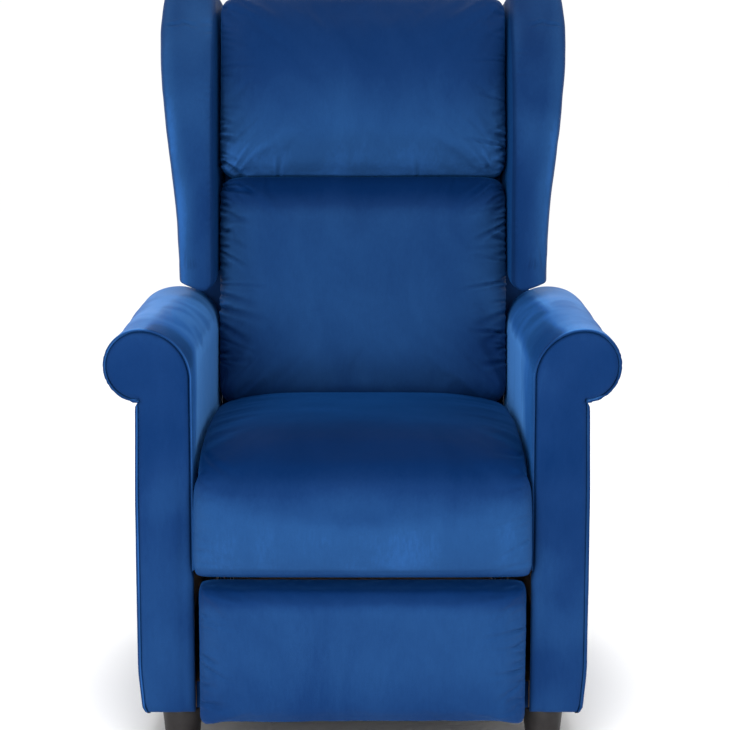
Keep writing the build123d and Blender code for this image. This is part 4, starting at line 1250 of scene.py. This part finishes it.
def seat_band(side, sign):
    """The band over one of the seat's side rails."""
    low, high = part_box("seat_side_rails")
    front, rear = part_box("seat_front_rail")[0].y, high.y - 0.001
    under, over = 0.003, 0.005
    along, height = np.meshgrid(np.linspace(front, rear, 50), np.linspace(low.z - under, high.z + over, 12))
    full = sign * (high.x + 0.0003 + 0.0006 * np.sin(np.pi * (height - low.z) / (high.z - low.z)) ** 2)
    grid = np.stack([full, along, height], axis=-1)
    piece = thin_sheet(f"{side}_seat_band", grid if sign > 0 else grid[:, ::-1], 0.0008)
    dress(piece, "seat", "velvet")


back_lining()
for side, sign in SIDES:
    seat_band(side, sign)


# Seat-to-back flap: cloth that closes the gap behind the seat
def gap_flap():
    """A slack strip from the seat's rear edge to the foot of the lumbar cushion."""
    half, sag = 0.222, 0.045
    start = Vector((0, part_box("seat_cushion")[1].y + 0.0025, 0.372))
    end = Vector(on_back(0.0, 0.103, 0.055))
    low_point = Vector((0, (start.y + end.y) / 2, min(start.z, end.z) - sag))
    pull = 2 * low_point - (start + end) / 2
    steps = np.linspace(0, 1, 26).tolist()
    path = [(1 - t) ** 2 * start + 2 * t * (1 - t) * pull + t * t * end for t in steps]
    share, across = np.meshgrid(np.linspace(0, 1, len(path)), np.linspace(-half, half, 44), indexing="ij")
    ripple = 0.0022 * np.sin(across * 62) * np.sin(np.pi * share)
    y = np.array([place.y for place in path])[:, None] + 0.4 * ripple
    z = np.array([place.z for place in path])[:, None] + ripple
    piece = thin_sheet("seat_gap_flap", np.stack([across, y, z], axis=-1), 0.0012)
    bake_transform(piece)


gap_flap()


# Footrest lining: the velvet is turned round the board's edges and stapled on its back
def footrest_return():
    """Velvet drawn round the rim of the footrest board and folded on to its back."""
    low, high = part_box("footrest_board")
    border = 0.024
    line = rounded_loop(block((low.x, low.z), (high.x, high.z)), (0.001,) * 4, 3, 60)
    outward = loop_normals(line)
    inner = np.clip(line, (low.x + border, low.z + border), (high.x - border, high.z - border))
    ragged = np.array([random.Random(index).uniform(-0.0003, 0.0003) for index in range(len(line))])
    # Each step round the strip: share of the fold, how far out of the rim, how deep
    profile = (
        (0.0, 0.0012, low.y),
        (0.0, 0.0015, (low.y + high.y) / 2),
        (0.0, 0.0012, high.y + 0.0004),
        (0.0, 0.0002, high.y + 0.0015),
        (0.5, 0.0, high.y + 0.0019),
        (1.0, 0.0, high.y + 0.0014),
        (1.0, 0.0, high.y + 0.0004),
        (0.02, 0.0, high.y + 0.0004),
        (0.0, 0.0004, high.y + 0.0002),
        (0.0, 0.0004, low.y),
    )
    rows = []
    for share, out, depth in profile:
        place = line * (1 - share) + inner * share + outward * out
        loose = ragged * (share == 0.5)
        rows.append(np.stack([place[:, 0], depth + loose, place[:, 1]], axis=-1))
    faces = ring_faces(len(rows), len(line), closed=True)
    piece = make_object("footrest_turned_edge", np.vstack(rows), faces)
    dress(piece, "footrest", "velvet")


footrest_return()


# Repeated fasteners, placed by geometry nodes
def scatter(name, places, turn, master, body):
    """Copies of a small master mesh at points, made by geometry nodes and kept as plain mesh."""
    mesh = bpy.data.meshes.new(name)
    mesh.from_pydata([tuple(place) for place in places], [], [])
    piece = bpy.data.objects.new(name, mesh)
    scene.collection.objects.link(piece)
    tree = bpy.data.node_groups.new(name, "GeometryNodeTree")
    tree.interface.new_socket("Geometry", in_out="INPUT", socket_type="NodeSocketGeometry")
    turned = tree.interface.new_socket("Turn", in_out="INPUT", socket_type="NodeSocketVector")
    tree.interface.new_socket("Geometry", in_out="OUTPUT", socket_type="NodeSocketGeometry")
    source = tree.nodes.new("NodeGroupInput")
    result = tree.nodes.new("NodeGroupOutput")
    copy = tree.nodes.new("GeometryNodeObjectInfo")
    copy.inputs["Object"].default_value = master
    spread = tree.nodes.new("GeometryNodeInstanceOnPoints")
    real = tree.nodes.new("GeometryNodeRealizeInstances")
    finish = tree.nodes.new("GeometryNodeSetMaterial")
    finish.inputs["Material"].default_value = FINISHES["zinc_steel"]
    for output, socket in (
        (source.outputs["Geometry"], spread.inputs["Points"]),
        (copy.outputs["Geometry"], spread.inputs["Instance"]),
        (source.outputs["Turn"], spread.inputs["Rotation"]),
        (spread.outputs["Instances"], real.inputs["Geometry"]),
        (real.outputs["Geometry"], finish.inputs["Geometry"]),
        (finish.outputs["Geometry"], result.inputs["Geometry"]),
    ):
        tree.links.new(output, socket)
    modifier = piece.modifiers.new("copies", "NODES")
    modifier.node_group = tree
    modifier[turned.identifier] = turn
    bake(piece)
    dress(piece, body, "zinc_steel")


def fastener_master(name, points, faces):
    """A small open mesh to copy, kept out of the scene; its faces already point outwards."""
    mesh = bpy.data.meshes.new(name)
    mesh.from_pydata(np.vstack(points).tolist(), [], faces)
    mesh.shade_smooth()
    return bpy.data.objects.new(name, mesh)


def screw_master():
    """A pan-head screw with a cross recess, pointing along +Z."""
    steps = 16
    spoke = np.arange(steps) % 4
    head = (0.0042, 0.0), (0.0042, 0.0007), (0.0037, 0.0016), (0.0026, 0.0021)
    rings = [ring(reach, height, steps) for reach, height in head]
    cross_reach = np.choose(spoke, (0.0022, 0.0011, 0.0009, 0.0011))
    cross_height = np.where(spoke, 0.00215, 0.0021)
    rings.append(ring(cross_reach, cross_height, steps))
    faces = ring_faces(len(rings), steps)
    recess, floor = len(head) * steps, len(rings) * steps
    faces += [(recess + k, recess + (k + 1) % steps, floor) for k in range(steps)]
    return fastener_master("screw_head", [*rings, (0, 0, 0.0008)], faces)


def staple_master():
    """A crown staple, its bar along X, standing on +Z."""
    wire, sides = 0.0005, 6
    half = (0.0055, -0.0004), (0.0055, 0.0004), (0.0050, 0.0008)
    path = [(-x, z) for x, z in half] + list(reversed(half))
    rings = [ring(wire, x, sides)[:, (2, 0, 1)] + (0.0, 0.0, z) for x, z in path]
    return fastener_master("staple", rings, ring_faces(len(path), sides))


def fasteners():
    """Screws in the mechanism's plates and staples in the footrest lining."""
    screw, staple = screw_master(), staple_master()
    quarter = math.pi / 2
    board_low, board_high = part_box("footrest_board")
    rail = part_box("seat_side_rails")[1].z - 0.018
    for side, sign in SIDES:
        low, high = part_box(f"{side}_base_plate")
        face = low.x if sign > 0 else high.x
        places = [(face, y, low.z + 0.017) for y in np.linspace(low.y + 0.022, high.y - 0.022, 4)]
        scatter(f"{side}_base_screws", places, (0.0, -sign * quarter, 0.0), screw, "base")
        low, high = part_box(f"{side}_seat_plate")
        face = low.x if sign > 0 else high.x
        places = [(face, y, rail) for y in np.linspace(low.y + 0.030, low.y + 0.40, 5)]
        scatter(f"{side}_seat_screws", places, (0.0, -sign * quarter, 0.0), screw, "seat")
        low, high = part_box(f"{side}_footrest_bracket")
        inner = low.x + 0.009 if sign > 0 else high.x - 0.009
        places = [(inner, board_high.y + 0.003, z) for z in (0.105, 0.145, 0.185)]
        scatter(f"{side}_bracket_screws", places, (-quarter, 0.0, 0.0), screw, "footrest")
    level, edge, pitch = board_high.y + 0.0016, 0.012, 0.026
    columns = np.arange(board_low.x + 0.03, board_high.x - 0.02, pitch)
    places = [(x, level, z) for x in columns for z in (board_low.z + edge, board_high.z - edge)]
    scatter("footrest_staples", places, (-quarter, 0.0, 0.0), staple, "footrest")
    rows = np.arange(board_low.z + 0.035, board_high.z - 0.03, pitch)
    places = [(x, level, z) for z in rows for x in (board_low.x + edge, board_high.x - edge)]
    scatter("footrest_end_staples", places, (-quarter, quarter, 0.0), staple, "footrest")
    for master in (screw, staple):
        bpy.data.objects.remove(master)


fasteners()


# Studio: pale floor, soft light and the photograph's camera
def studio_floor():
    """A wide pale floor."""
    bpy.ops.mesh.primitive_plane_add(size=30.0)
    floor = bpy.context.object
    floor.name = "studio_floor"
    paper = Finish("studio_floor", Roughness=0.75, Specular_IOR_Level=0.2)
    shades = (0.3, (0.980, 0.980, 0.982)), (0.7, (0.990, 0.990, 0.990))
    paper.show("Base Color", paper.tint(paper.noise(3.0, 3.0), *shades))
    floor.data.materials.append(paper.material)
    return floor


def studio_lamp(name, spot, size, power, floor, floor_link):
    """A round softbox turned to the chair; floor_link says whether it lights the floor alone or never."""
    target = Vector((0, 0, 0.55))
    reach = bpy.data.collections.new(name)
    reach.objects.link(floor)
    reach.collection_objects[0].light_linking.link_state = floor_link
    lamp = bpy.data.lights.new(name, "AREA")
    lamp.shape = "DISK"
    lamp.size = size
    lamp.energy = power
    holder = bpy.data.objects.new(name, lamp)
    holder.location = spot
    holder.rotation_euler = (target - Vector(spot)).to_track_quat("-Z", "Y").to_euler()
    holder.light_linking.receiver_collection = reach
    scene.collection.objects.link(holder)


def photo_camera():
    """The camera at the photograph's viewing angle."""
    lens = bpy.data.cameras.new("photo_camera")
    lens.sensor_width = 36.0
    lens.lens = 93.28
    camera = bpy.data.objects.new("photo_camera", lens)
    camera.location = (0.0035, ARM_FRONT - 2.600, 0.9635)
    camera.rotation_euler = (math.radians(90.0 - 8.800), 0.0, 0.0)
    scene.collection.objects.link(camera)
    scene.camera = camera
    scene.view_settings.view_transform = "Standard"


def studio_world():
    """Even white light from all round."""
    world = bpy.data.worlds.new("studio")
    world.use_nodes = True
    scene.world = world
    sky = world.node_tree.nodes["Background"]
    sky.inputs["Color"].default_value = (1.0, 1.0, 1.0, 1.0)
    sky.inputs["Strength"].default_value = 1.03


floor = studio_floor()
studio_world()
studio_lamp("key_softbox", (-1.0, -3.2, 1.15), 1.7, 135.0, floor, "EXCLUDE")
studio_lamp("fill_softbox", (1.7, -2.5, 1.3), 1.5, 34.0, floor, "EXCLUDE")
studio_lamp("floor_softbox", (0.0, -0.9, 3.0), 1.6, 80.0, floor, "INCLUDE")
photo_camera()
